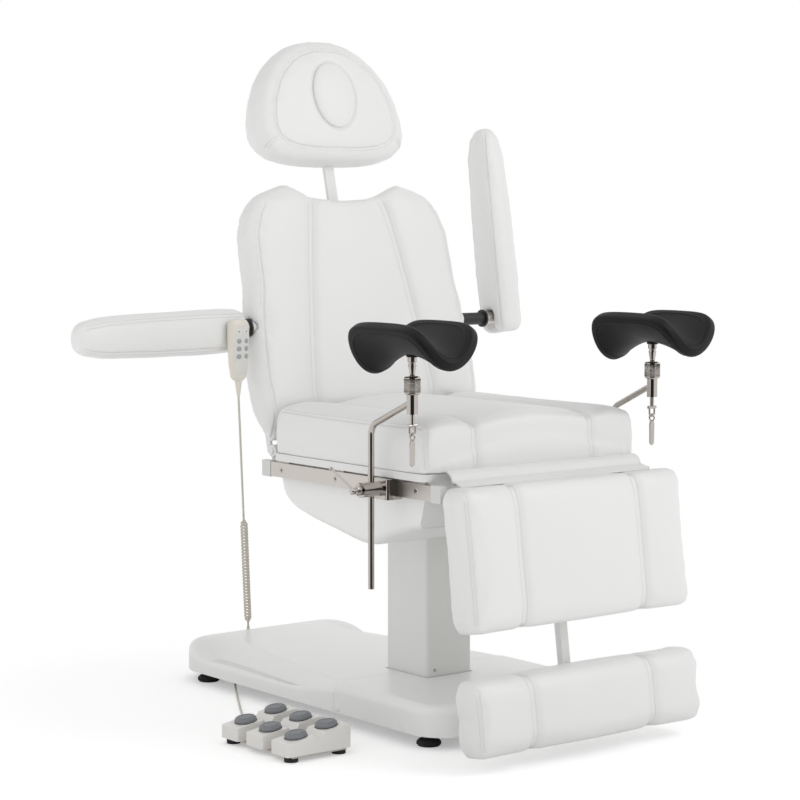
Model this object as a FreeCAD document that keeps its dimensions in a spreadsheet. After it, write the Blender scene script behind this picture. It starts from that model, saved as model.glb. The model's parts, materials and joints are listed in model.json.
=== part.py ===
"""Gynecological examination chair: column base, seat, back, head, leg and foot sections,
arm rests, stirrups on side rails, handset and three-pair foot control. Millimetres, Z up.
The chair faces -Y, its middle plane is X = 0, and the column's axis stands at X = 0, Y = 0."""
import FreeCAD, Part
import Sketcher
import math
import os
import re
from FreeCAD import Placement, Rotation, Vector

doc = FreeCAD.newDocument("gynecological_chair")
sheet = doc.addObject("Spreadsheet::Sheet", "dims")

# Driving dimensions: alias, value, what it measures
SIZES = (
    ("origin_x", 163.5, "middle plane of the chair, from the middle of its floor area"),
    ("origin_y", -52, "column axis, from the middle of its floor area"),
    ("base_half", 240, "base cover, half width"),
    ("base_front", -320, "base cover, front end"),
    ("base_rear", 640, "base cover, rear end"),
    ("base_low", 26, "base cover, lower rim above the floor"),
    ("base_top", 90, "base cover, top"),
    ("base_wall", 4, "base cover, wall"),
    ("base_split", 20, "seam between the two base covers"),
    ("foot_x", 200, "levelling feet, from the middle"),
    ("foot_front", -248, "front levelling feet"),
    ("foot_rear", 552, "rear levelling feet"),
    ("frame_low", 34, "base frame, underside"),
    ("frame_tall", 20, "base frame tubes, height"),
    ("frame_tube", 40, "base frame tubes, width"),
    ("column_width", 122, "outer column, side to side"),
    ("column_depth", 140, "outer column, front to back"),
    ("column_wall", 4, "column tubes, wall"),
    ("column_top", 430, "outer column, top"),
    ("inner_gap", 2, "glide gap between the column tubes"),
    ("inner_low", 132, "inner column, lower end when lowered"),
    ("head_plate", 497, "underside of the plate on the inner column"),
    ("seat_half", 285, "seat cushion, half width"),
    ("seat_front", -340, "seat cushion, front"),
    ("seat_rear", 178, "seat cushion, rear"),
    ("seat_low", 562, "seat board, top"),
    ("seat_edge", 655, "seat cushion, height of its edge"),
    ("board_low", 547, "seat board, underside"),
    ("rail_out", 279, "side rail, outer face"),
    ("rail_thick", 12, "side rail, thickness"),
    ("rail_low", 511, "side rail, lower edge"),
    ("rail_tall", 31, "side rail, height"),
    ("rail_front", -382, "side rail with its cap, front end"),
    ("rail_rear", 220, "side rail with its cap, rear end"),
    ("rail_cap", 30, "rail end cap, length"),
    ("back_y", 205, "back hinge, from the column axis"),
    ("back_z", 562, "back hinge, above the floor"),
    ("back_lean", 13.5, "back section, lean from upright in degrees"),
    ("back_front", 45.5, "back hinge to the crest of the back cushion"),
    ("arm_y", -16, "arm socket axis, behind the back hinge line"),
    ("arm_q", 264.5, "arm socket axis, up the back from its hinge"),
    ("arm_reach", 52, "arm pivot, out from the sleeve's flange"),
    ("sleeve_radius", 14, "arm sleeve, radius"),
    ("sleeve_long", 85, "arm sleeve, length"),
    ("socket_end", 291, "arm socket, outer end from the middle"),
    ("arm_drawn", 66, "left arm, drawn out of its socket"),
    ("arm_swing", 77, "right arm, swung outwards in degrees"),
    ("arm_raise", 98.6, "left arm, raised from level in degrees"),
    ("leg_y", -361, "leg hinge, from the column axis"),
    ("leg_z", 547, "leg hinge, above the floor"),
    ("leg_lean", 8, "leg section, lean of its lower end in degrees"),
    ("leg_back", 33, "leg hinge to the back of the leg cushions"),
    ("calf_half", 290, "calf cushion, half width"),
    ("foot_half", 300, "foot cushion, half width"),
    ("stirrup_x", 326, "stirrup rod, from the middle"),
    ("stirrup_y", -222, "stirrup rod and rail clamp, from the column axis"),
    ("rod_radius", 6.35, "stirrup rod, radius"),
    ("ball_x", 321, "stirrup ball, from the middle"),
    ("ball_y", -346, "stirrup ball, from the column axis"),
    ("ball_z", 742, "stirrup ball, above the floor"),
    ("pad_half", 76, "knee pad, half width"),
    ("pad_long", 117, "knee pad, half length"),
    ("pedal_x", -440, "foot control, middle"),
    ("pedal_y", -88, "foot control, middle unit"),
    ("pedal_pitch", 87, "foot control, spacing of its units"),
    ("button_radius", 22.5, "foot button, radius"),
    ("wire_radius", 2.4, "handset and pedal cord, radius"),
    ("curl_radius", 6.4, "curled cord, radius of the turns' middle line"),
)
for row, (alias, value, note) in enumerate(SIZES, start=1):
    sheet.set(f"A{row}", note)
    sheet.set(f"B{row}", str(value))
    sheet.setAlias(f"B{row}", alias)
doc.recompute()


class Dims:
    """Reads a driving dimension from the sheet by its alias."""

    def __getattr__(self, alias):
        return float(sheet.get(alias))


D = Dims()
NODES = {}
X_AXIS, Y_AXIS, Z_AXIS = Vector(1, 0, 0), Vector(0, 1, 0), Vector(0, 0, 1)
SIDES = (("right", -1), ("left", 1))
TOUCH = 1e-3
FIT = 0.05
PLAY = 0.3
BACK = Placement(Vector(0, D.back_y, D.back_z), Rotation(X_AXIS, -D.back_lean))
LEG = Placement(Vector(0, D.leg_y, D.leg_z), Rotation(X_AXIS, -D.leg_lean))


def formula(text):
    """Writes an expression on the sheet's cells: 'base_top - 4' reads dims.base_top."""
    return re.sub(r"[a-z][a-z_]*", r"dims.\g<0>", text)


def node(label, obj):
    """Registers an object as a sub-part that gets its own file."""
    obj.Label = label
    NODES[label] = obj
    return obj


def solid(label, shape, place=Placement()):
    """A sub-part whose shape is worked out here, set in place."""
    obj = doc.addObject("Part::Feature", label)
    obj.Shape = shape
    obj.Placement = place.multiply(shape.Placement)
    return node(label, obj)


def block(name, corner, size):
    """A box from its low corner and its size, written with the sheet's aliases."""
    obj = doc.addObject("Part::Box", name)
    for prop, text in zip(("Length", "Width", "Height"), size):
        obj.setExpression(prop, formula(text))
    for axis, text in zip("xyz", corner):
        obj.setExpression(f"Placement.Base.{axis}", formula(text))
    return obj


def rod(name, start, radius, length, turn=Rotation()):
    """A round bar from its start, written with the sheet's aliases; turn takes Z to its axis."""
    obj = doc.addObject("Part::Cylinder", name)
    obj.Placement = Placement(Vector(), turn)
    obj.setExpression("Radius", formula(radius))
    obj.setExpression("Height", formula(length))
    for axis, text in zip("xyz", start):
        obj.setExpression(f"Placement.Base.{axis}", formula(text))
    return obj


def fuse(name, objects):
    obj = doc.addObject("Part::MultiFuse", name)
    obj.Shapes = objects
    return obj


def group(name, objects):
    """Separate solids that share one node."""
    obj = doc.addObject("Part::Compound", name)
    obj.Links = objects
    return obj


def cut(name, base, tool):
    obj = doc.addObject("Part::Cut", name)
    obj.Base = base
    obj.Tool = tool
    return obj


def cylinder(start, radius, length, axis=Z_AXIS):
    return Part.makeCylinder(radius, length, start, axis)


def box(low, high):
    """A plain box between two corners."""
    return Part.makeBox(*(high - low), low)


def origin_plane(body, role):
    return next(f for f in body.Origin.OriginFeatures if f.Role == role)


def number(text):
    """The present value of an expression on the sheet's cells."""
    sheet.set("D1", "=" + text)
    sheet.recompute()
    value = float(sheet.get("D1"))
    sheet.clear("D1")
    return value


def outline(body, name, role, points, offset="0"):
    """A closed sketch on one of the body's planes, whose corners are bound to the sheet."""
    sketch = body.newObject("Sketcher::SketchObject", name)
    sketch.AttachmentSupport = (origin_plane(body, role), [""])
    sketch.MapMode = "FlatFace"
    sketch.setExpression("AttachmentOffset.Base.z", formula(offset))
    values = [Vector(*(number(text) for text in point), 0) for point in points]
    count = len(points)
    for i in range(count):
        sketch.addGeometry(Part.LineSegment(values[i], values[(i + 1) % count]), False)
    for i in range(count):
        sketch.addConstraint(Sketcher.Constraint("Coincident", i, 2, (i + 1) % count, 1))
    for i, point in enumerate(points):
        for kind, value, text in zip(("DistanceX", "DistanceY"), values[i], point):
            index = sketch.addConstraint(Sketcher.Constraint(kind, -1, 1, i, 1, value))
            sketch.setExpression(f"Constraints[{index}]", formula(text))
    return sketch


def pad(body, sketch, length, reverse=False):
    feature = body.newObject("PartDesign::Pad", sketch.Name + "_pad")
    feature.Profile = sketch
    feature.Reversed = reverse
    feature.setExpression("Length", formula(length))
    return feature


def pocket_through(body, sketch):
    """Cuts a sketch right through its body."""
    feature = body.newObject("PartDesign::Pocket", sketch.Name + "_pocket")
    feature.Profile = sketch
    feature.Type = "ThroughAll"
    feature.Midplane = True
    return feature


def rounded(body, feature, radius, wanted):
    """Fillets the edges of a feature that wanted(edge) picks."""
    doc.recompute()
    names = [f"Edge{i}" for i, edge in enumerate(feature.Shape.Edges, start=1) if wanted(edge)]
    fillet = body.newObject("PartDesign::Fillet", feature.Name + "_round")
    fillet.Base = (feature, names)
    fillet.setExpression("Radius", formula(radius))
    return fillet


def upright(edge):
    """True for a straight edge along Z."""
    start, end = edge.Vertexes[0].Point, edge.Vertexes[-1].Point
    level = Vector(start.x - end.x, start.y - end.y, 0)
    return level.Length < TOUCH and abs(start.z - end.z) > TOUCH


def rectangle(x0, y0, x1, y1):
    return ((x0, y0), (x1, y0), (x1, y1), (x0, y1))


def polygon(points):
    """A closed wire through points."""
    return Part.makePolygon([Vector(*p) for p in points] + [Vector(*points[0])])


def prism(points, along):
    """A flat outline drawn out along a vector."""
    return Part.Face(polygon(points)).extrude(along)


def arc(start, middle, end):
    return Part.Arc(Vector(*start), Vector(*middle), Vector(*end)).toShape()


def revolved(profile, centre, axis=Z_AXIS):
    """A turned piece: profile holds (radius, height) pairs along Z from centre."""
    face = Part.Face(polygon([(r, 0, h) for r, h in profile]))
    turned = face.revolve(Vector(), Z_AXIS, 360)
    turned.Placement = Placement(centre, Rotation(Z_AXIS, axis))
    return turned


# Cushion slices

def panel_slice(half, seam, low, high, crown, along, dip=6.0, bulge=7.0):
    """One slice across a cushion in local axes: X across, Y along, Z up. Its underside is flat,
    its sides swell, and sewn channels part its top into three crowned panels."""
    inner = half - bulge
    middle = (low + high) / 2
    crest = high + crown
    a, b = (-inner, along, low), (inner, along, low)
    c, d = (inner, along, high), (seam, along, high - dip + crown / 2)
    e, f = (-seam, along, high - dip + crown / 2), (-inner, along, high)
    outer = (inner + seam) / 2
    edges = [
        Part.makeLine(Vector(*a), Vector(*b)),
        arc(b, (half, along, middle), c),
        arc(c, (outer, along, high + 0.6 * crown), d),
        arc(d, (0, along, crest), e),
        arc(e, (-outer, along, high + 0.6 * crown), f),
        arc(f, (-half, along, middle), a),
    ]
    return Part.Wire(edges)


def pillow_slice(half, low, high, along, bulge=6.0, crown=6.0):
    """A slice with no channel: a crowned top and underside between swelling sides."""
    inner = half - bulge
    middle = (low + high) / 2
    a, b = (-inner, along, low), (inner, along, low)
    c, d = (inner, along, high), (-inner, along, high)
    edges = [
        arc(a, (0, along, low - crown), b),
        arc(b, (half, along, middle), c),
        arc(c, (0, along, high + crown), d),
        arc(d, (-half, along, middle), a),
    ]
    return Part.Wire(edges)


def loft(slices):
    return Part.makeLoft(slices, True, True)


def seat_like(half, seam, start, end, low, high, crown, tuck=14.0, draw=4.0):
    """A channelled cushion: its ends are tucked in and its sides drawn in half way along."""
    middle = (start + end) / 2
    stations = (
        (start, tuck, 0), (start + 0.35 * tuck, 0.35 * tuck, 0), (start + 1.6 * tuck, 0, 0),
        (middle, 0, draw), (end - 1.6 * tuck, 0, 0), (end - 0.35 * tuck, 0.35 * tuck, 0), (end, tuck, 0),
    )
    return loft([panel_slice(half - inset - drawn, seam, low + 0.5 * inset, high - inset, crown, along)
                 for along, inset, drawn in stations])


# Tubes along a path of straight runs and tangent arcs

def bent_path(points, radii):
    """Edges through points, with an arc of the given radius at each inner point."""
    points = [Vector(*p) for p in points]
    edges, start = [], points[0]
    for before, corner, after, radius in zip(points, points[1:], points[2:], radii):
        inward, outward = (corner - before).normalize(), (after - corner).normalize()
        turn = inward.getAngle(outward)
        reach = radius * math.tan(turn / 2)
        first, last = corner - inward * reach, corner + outward * reach
        bisector = (outward - inward).normalize()
        centre = corner + bisector * (radius / math.cos(turn / 2))
        edges.append(Part.LineSegment(start, first).toShape())
        edges.append(Part.Arc(first, centre - bisector * radius, last).toShape())
        start = last
    edges.append(Part.LineSegment(start, points[-1]).toShape())
    return edges


def tube(edges, radius):
    """A round bar along a path, square to its start."""
    path = Part.Wire(edges)
    start = edges[0].valueAt(edges[0].FirstParameter)
    ahead = edges[0].tangentAt(edges[0].FirstParameter)
    ring = Part.Wire(Part.makeCircle(radius, start, ahead))
    return path.makePipeShell([ring], True, True)


def cord_radii(points):
    """The arc at each corner: it may take nearly half of a run that two corners share."""
    points = [Vector(*p) for p in points]
    radii = []
    last = len(points) - 3
    for i, (before, corner, after) in enumerate(zip(points, points[1:], points[2:])):
        turn = (corner - before).getAngle(after - corner)
        room_before = (corner - before).Length * (0.8 if i == 0 else 0.45)
        room_after = (after - corner).Length * (0.8 if i == last else 0.45)
        radii.append(min(room_before, room_after) / math.tan(turn / 2))
    return radii


# Base: frame, covers, feet and column

def base_frame():
    tubes = []
    for side, sign in SIDES:
        name = f"{side}_runner"
        x = "foot_x - frame_tube / 2" if sign > 0 else "-foot_x - frame_tube / 2"
        tubes.append(block(name, (x, "foot_front - 30", "frame_low"),
                           ("frame_tube", "foot_rear - foot_front + 60", "frame_tall")))
    for name, y in (("front_tie", "foot_front"), ("rear_tie", "foot_rear - 110")):
        tubes.append(block(name, ("-foot_x + frame_tube / 2", f"{y} - frame_tube / 2", "frame_low"),
                           ("2 * foot_x - frame_tube", "frame_tube", "frame_tall")))
    tubes.append(block("column_foot", ("-foot_x + frame_tube / 2", "-110", "frame_low"),
                       ("2 * foot_x - frame_tube", "220", "12")))
    tubes.append(rod("pedal_gland", ("-205", "440", "base_low"), "6", "frame_low - base_low"))
    return node("base_frame", fuse("base_frame_weld", tubes))


def levelling_feet():
    profile = ((0, 0), (22, 0), (24.5, 3), (24.5, 9), (21, 13), (15, 15), (15, 18), (8, 19), (6, 20),
               (6, D.frame_low), (0, D.frame_low))
    feet = [revolved(profile, Vector(sign * D.foot_x, y, 0))
            for _, sign in SIDES for y in (D.foot_front, D.foot_rear)]
    return solid("levelling_feet", Part.makeCompound(feet))


def cover_form(name, inset, y0, y1, corners):
    """One half of the base cover as a solid: a plate with big round corners and a soft upper edge."""
    body = doc.addObject("PartDesign::Body", name)
    half = f"base_half - {inset}"
    sketch = outline(body, name + "_plan", "XY_Plane", rectangle(f"-({half})", y0, half, y1), "base_low")
    plate = pad(body, sketch, f"base_top - base_low - {inset}")
    middle = (number(y0) + number(y1)) / 2
    away = (lambda y: y < middle) if corners == "front" else (lambda y: y > middle)
    radius = f"75 - {inset}" if corners == "front" else f"95 - {inset}"
    plate = rounded(body, plate, radius, lambda e: upright(e) and away(e.Vertexes[0].Point.y))
    seam = number(y1) if corners == "front" else number(y0)
    top = number(f"base_top - {inset}")

    def upper_edge(edge):
        box_ = edge.BoundBox
        on_seam = abs(box_.YMin - seam) < TOUCH and abs(box_.YMax - seam) < TOUCH
        return box_.ZMin > top - TOUCH and not on_seam

    return rounded(body, plate, f"20 - {inset}", upper_edge)


def scoop(radius_x, radius_y, radius_z):
    """The two teardrop hollows in the rear cover: deep at the rear, running out at the seam."""
    hollows = []
    for _, sign in SIDES:
        ball = Part.makeSphere(1)
        matrix = FreeCAD.Matrix()
        matrix.scale(radius_x, radius_y, radius_z)
        hollow = ball.transformGeometry(matrix)
        hollow.Placement = Placement(Vector(sign * 190, 470, 96), Rotation(Z_AXIS, 4 * sign))
        hollows.append(hollow)
    return hollows


def base_covers():
    column_hole = box(Vector(-D.column_width / 2 - 3, -D.column_depth / 2 - 3, 0),
                      Vector(D.column_width / 2 + 3, D.column_depth / 2 + 3, 200))
    window = box(Vector(-62, D.base_rear - 12, 38), Vector(62, D.base_rear + 5, 68))
    wall = "base_wall"
    forms = (("base_cover_front", "front", "base_front", "base_split - 0.5"),
             ("base_cover_rear", "rear", "base_split + 0.5", "base_rear"))
    for label, end, y0, y1 in forms:
        inner_y0 = f"{y0} + {wall}" if end == "front" else y0
        inner_y1 = y1 if end == "front" else f"{y1} - {wall}"
        outer = cover_form(label + "_outer", "0", y0, y1, end)
        inner = cover_form(label + "_inner", wall, inner_y0, inner_y1, end)
        doc.recompute()
        skin, hollow = outer.Shape.copy(), inner.Shape.copy()
        hollow = hollow.fuse(box(Vector(-D.base_half + 4, number(inner_y0) + 60, 0),
                                 Vector(D.base_half - 4, number(inner_y1) - 60, D.base_low + 1)))
        if end == "rear":
            skin = skin.cut(scoop(86, 440, 38))
            hollow = hollow.cut(scoop(90, 444, 42))
        shell = skin.cut([hollow, column_hole, window])
        solid(label, shell)


def column():
    body = doc.addObject("PartDesign::Body", "column_outer_body")
    half, deep = "column_width / 2", "column_depth / 2"
    plan = outline(body, "column_plan", "XY_Plane",
                   rectangle(f"-{half}", f"-{deep}", half, deep), "frame_low + 12")
    post = pad(body, plan, "column_top - frame_low - 12")
    rounded(body, post, "8", upright)
    half_in, deep_in = f"{half} - column_wall", f"{deep} - column_wall"
    bore = outline(body, "column_bore", "XY_Plane",
                   rectangle(f"-({half_in})", f"-({deep_in})", half_in, deep_in))
    pocket_through(body, bore)
    node("column_outer", body)

    inner = doc.addObject("PartDesign::Body", "column_inner_body")
    half, deep = f"{half_in} - inner_gap", f"{deep_in} - inner_gap"
    plan = outline(inner, "inner_plan", "XY_Plane",
                   rectangle(f"-({half})", f"-({deep})", half, deep), "inner_low")
    post = pad(inner, plan, "head_plate - inner_low")
    rounded(inner, post, "5", upright)
    half, deep = f"{half} - column_wall", f"{deep} - column_wall"
    bore = outline(inner, "inner_bore", "XY_Plane", rectangle(f"-({half})", f"-({deep})", half, deep))
    pocket_through(inner, bore)
    spindle = rod("lift_spindle", ("0", "0", "inner_low + 20"), "14", "head_plate - inner_low - 20")
    node("column_inner", group("column_inner_and_spindle", [inner, spindle]))

    motor = block("lift_motor", ("-42", "-50", "frame_low + 12"), ("84", "100", "70"))
    barrel = rod("lift_barrel", ("0", "0", "frame_low + 82"), "24", "300")
    bore = rod("lift_bore", ("0", "0", "frame_low + 88"), "16", "320")
    node("lift_actuator", cut("lift_actuator_bored", fuse("lift_actuator_body", [motor, barrel]), bore))


def control_box():
    """The supply box behind the rear cover, with the mains inlet and two round sockets on its face."""
    case = box(Vector(-80, 520, D.frame_low), Vector(80, 630, 74))
    face = box(Vector(-60, 630, 40), Vector(60, D.base_rear - 1.5, 66))
    inlet = box(Vector(14, 624, 44), Vector(44, D.base_rear, 62))
    pins = [box(Vector(22 + 7 * i, 624, 48), Vector(24 + 7 * i, 634, 56)) for i in range(3)]
    sockets = [cylinder(Vector(x, 628, 53), 6, 20, Y_AXIS) for x in (-20, -44)]
    shape = case.fuse(face).cut([inlet] + sockets)
    solid("control_box", shape.fuse(pins).removeSplitter())


# Foot control

PEDAL_SLOPE = 9.0
BUTTON_SPREAD = 37.0
BUTTON_RISE = 50.0
BUTTON_SHAFT = 6.0


def button_place(unit, row):
    """Where a button's underside sits: unit counts along Y, row is outer (-1) or inner (1)."""
    rise = BUTTON_RISE + row * BUTTON_SPREAD * math.tan(math.radians(PEDAL_SLOPE))
    middle = Vector(D.pedal_x + row * BUTTON_SPREAD, D.pedal_y - unit * D.pedal_pitch, rise)
    return Placement(middle, Rotation(Y_AXIS, -PEDAL_SLOPE))


def foot_control():
    slope = math.tan(math.radians(PEDAL_SLOPE))
    low, width = 12.0, 58.0
    housings = []
    for unit in (-1, 0, 1):
        y = D.pedal_y - unit * D.pedal_pitch - width / 2
        half = 78.0

        def top(x):
            return BUTTON_RISE + x * slope

        outline_points = [(-half, low), (half, low), (half, top(62) - 2), (62, top(62)), (14, top(14)),
                          (6, top(0) - 8), (-6, top(0) - 9), (-14, top(-14)), (-62, top(-62)),
                          (-half, top(-62) - 3)]
        profile = [(D.pedal_x + x, y, z) for x, z in outline_points]
        housing = prism(profile, Vector(0, width, 0))
        housing = housing.makeFillet(5, [e for e in housing.Edges if upright(e)])
        for row in (-1, 1):
            well = Part.makeCylinder(D.button_radius + 1, 30, Vector(0, 0, -6))
            shaft = Part.makeCylinder(BUTTON_SHAFT + FIT, 40, Vector(0, 0, -20))
            for tool in (well, shaft):
                tool.Placement = button_place(unit, row)
                housing = housing.cut(tool)
            cap = revolved(((0, 0), (D.button_radius - 1.5, 0), (D.button_radius, 2), (D.button_radius, 6),
                            (D.button_radius - 3, 9), (0, 10)), Vector())
            cap = cap.fuse(cylinder(Vector(0, 0, -14), BUTTON_SHAFT, 14))
            letter = "outer" if row < 0 else "inner"
            solid(f"pedal_button_{unit + 2}_{letter}", cap, button_place(unit, row))
        housings.append(housing)
    solid("pedal_housings", Part.makeCompound(housings))
    reach = D.pedal_pitch + width / 2
    plate = box(Vector(D.pedal_x - 66, D.pedal_y - reach, 9), Vector(D.pedal_x + 66, D.pedal_y + reach, low))
    solid("pedal_plate", plate)
    pads = [cylinder(Vector(D.pedal_x + sx * 58, D.pedal_y + sy * (reach - 16), 0), 14, 9)
            for sx in (-1, 1) for sy in (-1, 1)]
    solid("pedal_feet", Part.makeCompound(pads))


PEDAL_CORD = (
    (-205, 440, 26), (-205, 440, 3.2), (-398, 118, 2.9), (-424, 76, 4.5), (-433, 56, 14),
    (-434, 44, 20), (-434, 28, 20),
)


def pedal_cord():
    radii = cord_radii(PEDAL_CORD)
    edges = bent_path(PEDAL_CORD, radii)
    shape = tube(edges, D.wire_radius)
    length = sum(edge.Length for edge in edges)
    print("pedal cord: length %.0f, radii %s, volume over section times length %.3f" % (
        length, [round(r) for r in radii], shape.Volume / (math.pi * D.wire_radius ** 2 * length)))
    solid("pedal_cord", shape)


# Seat section on the inner column

LEVER_X = 100.0
BACK_PIVOT = Vector(0, 236, 511)
LEG_PIVOT = Vector(0, -321.6, 501.7)
BACK_ROD_Z = 506.0
LEG_ROD_Z = 497.0


def seat_frame():
    top = D.board_low
    parts = [box(Vector(-70, -75, D.head_plate), Vector(70, 75, 505)),
             box(Vector(-60, -60, 505), Vector(60, 60, 526))]
    for y0, y1 in ((-165, -135), (-15, 15), (80, 100)):
        parts.append(box(Vector(-140, y0, 526), Vector(140, y1, top)))
    for _, sign in SIDES:
        def across(x0, x1, y0, y1, z0, z1):
            low, high = sorted((sign * x0, sign * x1))
            return box(Vector(low, y0, z0), Vector(high, y1, z1))

        parts.append(across(135, 165, -334, 215, 505, top))
        parts.append(across(160, 256, 188, 215, 518, 542))
        parts.append(across(249, 256, 191, 218, 518, D.back_z))
        parts.append(cylinder(Vector(sign * 252.5 - 3.5, D.back_y, D.back_z), 13, 7, X_AXIS))
        parts.append(cylinder(Vector(sign * 257 - 10, D.back_y, D.back_z), 6, 20, X_AXIS))
        parts.append(across(160, 207, -345, -326, 515, 536))
        parts.append(across(200, 207, -374, -343, 515, 545))
        parts.append(cylinder(Vector(sign * 203.5 - 3.5, D.leg_y, D.leg_z), 13, 7, X_AXIS))
        parts.append(cylinder(Vector(sign * 192.5 - 14.5, D.leg_y, D.leg_z), 7, 29, X_AXIS))
    solid("seat_frame", parts[0].fuse(parts[1:]).removeSplitter())


def rounded_plate(half, y0, y1, z0, z1, radius):
    """A flat board with round corners."""
    plate = box(Vector(-half, y0, z0), Vector(half, y1, z1))
    return plate.makeFillet(radius, [e for e in plate.Edges if upright(e)])


def hull_slice(y, half, low, top, bottom_half):
    """One slice of the under-seat cover: flat top, sides that swell towards a rounded bottom."""
    side = ((half + bottom_half) / 2 + 14, y, (top + low) / 2 - 12)
    a, b = (half, y, top), (bottom_half, y, low)
    return Part.Wire([
        Part.makeLine(Vector(-half, y, top), Vector(*a)),
        arc(a, side, b),
        arc(b, (0, y, low - 6), (-bottom_half, y, low)),
        arc((-bottom_half, y, low), (-side[0], y, side[2]), (-half, y, top)),
    ])


# Slices of the under-seat cover: along, lowest height, half width of the bottom
HULL = ((182, 487, 217), (150, 462, 212), (75, 428, 204), (0, 402, 196), (-100, 380, 188),
        (-190, 374, 184), (-345, 372, 184))


def seat_section():
    seat_frame()
    board = rounded_plate(D.seat_half, D.seat_front + 4, D.seat_rear, D.board_low, D.seat_low, 22)
    solid("seat_board", board)
    cushion = seat_like(D.seat_half, 156, D.seat_front, D.seat_rear, D.seat_low + 0.5, D.seat_edge, 16)
    solid("seat_cushion", cushion)

    top = D.board_low - PLAY
    outer = loft([hull_slice(y, 260, low, top, bottom) for y, low, bottom in HULL])
    inner = loft([hull_slice(y, 257, low + 3, top, bottom - 3) for y, low, bottom in HULL])
    slant = ((-345, 600), (-345, 520), (-150, 366), (-400, 300), (-400, 600))
    front = prism([(-400, y, z) for y, z in slant], Vector(800, 0, 0))
    hole = box(Vector(-D.column_width / 2 - 4, -D.column_depth / 2 - 4, 300),
               Vector(D.column_width / 2 + 4, D.column_depth / 2 + 4, 470))
    solid("seat_under_cover", outer.cut([inner, front, hole]))

    rails, caps = [], []
    for side, sign in SIDES:
        x = "rail_out - rail_thick" if sign > 0 else "-rail_out"
        bar = block(f"{side}_rail_bar", (x, "rail_front + rail_cap", "rail_low"),
                    ("rail_thick", "rail_rear - rail_front - 2 * rail_cap", "rail_tall"))
        post_x = "rail_out - rail_thick" if sign > 0 else "-rail_out + rail_thick - 6"
        post_size = ("6", "40", "board_low - rail_low - rail_tall")
        posts = [block(f"{side}_rail_post_{i}", (post_x, str(y), "rail_low + rail_tall"), post_size)
                 for i, y in enumerate((-325, -60, 130))]
        rails.append(fuse(f"{side}_rail", [bar] + posts))
        for end, y in (("front", "rail_front"), ("rear", "rail_rear - rail_cap")):
            caps.append(block(f"{side}_{end}_cap", (f"{x} - 1", y, "rail_low - 1.5"),
                              ("rail_thick + 2", "rail_cap", "rail_tall + 3")))
    node("side_rails", group("side_rail_pair", rails))
    node("rail_end_caps", group("rail_cap_set", caps))


def actuators():
    """The back and leg motors under the seat; each drives a rod towards its lever."""
    housings = []
    drives = ((-1, BACK_ROD_Z, (-150, -60), (-60, 90)), (1, LEG_ROD_Z, (20, 110), (-230, 20)))
    for sign, z, motor, barrel in drives:
        x = sign * LEVER_X
        case = box(Vector(x - 27, motor[0], 452), Vector(x + 27, motor[1], 524))
        case = case.makeFillet(10, [e for e in case.Edges if abs(e.tangentAt(e.FirstParameter).y) > 0.9])
        pipe = cylinder(Vector(x, barrel[0], z), 17, barrel[1] - barrel[0], Y_AXIS)
        lug_y = motor[0] + 2 if sign < 0 else motor[1] - 28
        lug = box(Vector(x - 12, lug_y, 520), Vector(x + 12, lug_y + 13, 526))
        bore_start = barrel[0] if sign < 0 else barrel[0] - 5
        bore = cylinder(Vector(x, bore_start, z), 10.5, barrel[1] - barrel[0] + 5, Y_AXIS)
        housings.append(case.fuse([pipe, lug]).cut(bore))
    solid("actuator_housings", Part.makeCompound(housings))
    for label, x, z, y0, y1, pivot in (("back_rod", -LEVER_X, BACK_ROD_Z, 20, 216, BACK_PIVOT),
                                       ("leg_rod", LEVER_X, LEG_ROD_Z, -300, -70, LEG_PIVOT)):
        shaft = cylinder(Vector(x, y0, z), 10, y1 - y0, Y_AXIS)
        near, far = sorted((y1 - 4 if x < 0 else y0 + 4, pivot.y + (14 if x < 0 else -14)))
        bridge_y = y1 - 8 if x < 0 else y0
        bridge = box(Vector(x - 11, bridge_y, z - 9), Vector(x + 11, bridge_y + 8, z + 9))
        cheeks = [box(Vector(x + dx, near, z - 11), Vector(x + dx + 4.5, far, z + 11)) for dx in (-10.5, 6)]
        solid(label, shaft.fuse([bridge] + cheeks).removeSplitter())


# Back section: local axes with the hinge at the origin, Y to the rear and Z up the back
# Outline of the back: height up the back, half width

BACK_OUTLINE = ((18, 262), (60, 273), (98, 284), (150, 291), (220, 292), (303, 286), (392, 270),
                (462, 250), (510, 226), (540, 202), (560, 180), (572, 158))


def back_seam(q):
    """Half distance between the two channels: close at the top, wider towards the seat."""
    return 92 + 68 * min(1.0, ((545 - q) / 420) ** 0.75) if q < 545 else 92


LOBE_Q, LOBE_X, NOTCH_Q = 572.0, 157.0, 532.0


def notch_tool():
    """The dip between the two shoulder lobes."""
    drop = LOBE_Q - NOTCH_Q
    radius = (LOBE_X ** 2 + drop ** 2) / (2 * drop)
    return cylinder(Vector(0, -200, NOTCH_Q + radius), radius, 400, Y_AXIS)


def standing(slices):
    """Turns slices drawn with Y along and Z up into a back that stands: Z up it, front to -Y."""
    turn = Rotation(X_AXIS, 90)
    for piece in slices:
        piece.Placement = Placement(Vector(), turn)
    return loft(slices)


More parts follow.
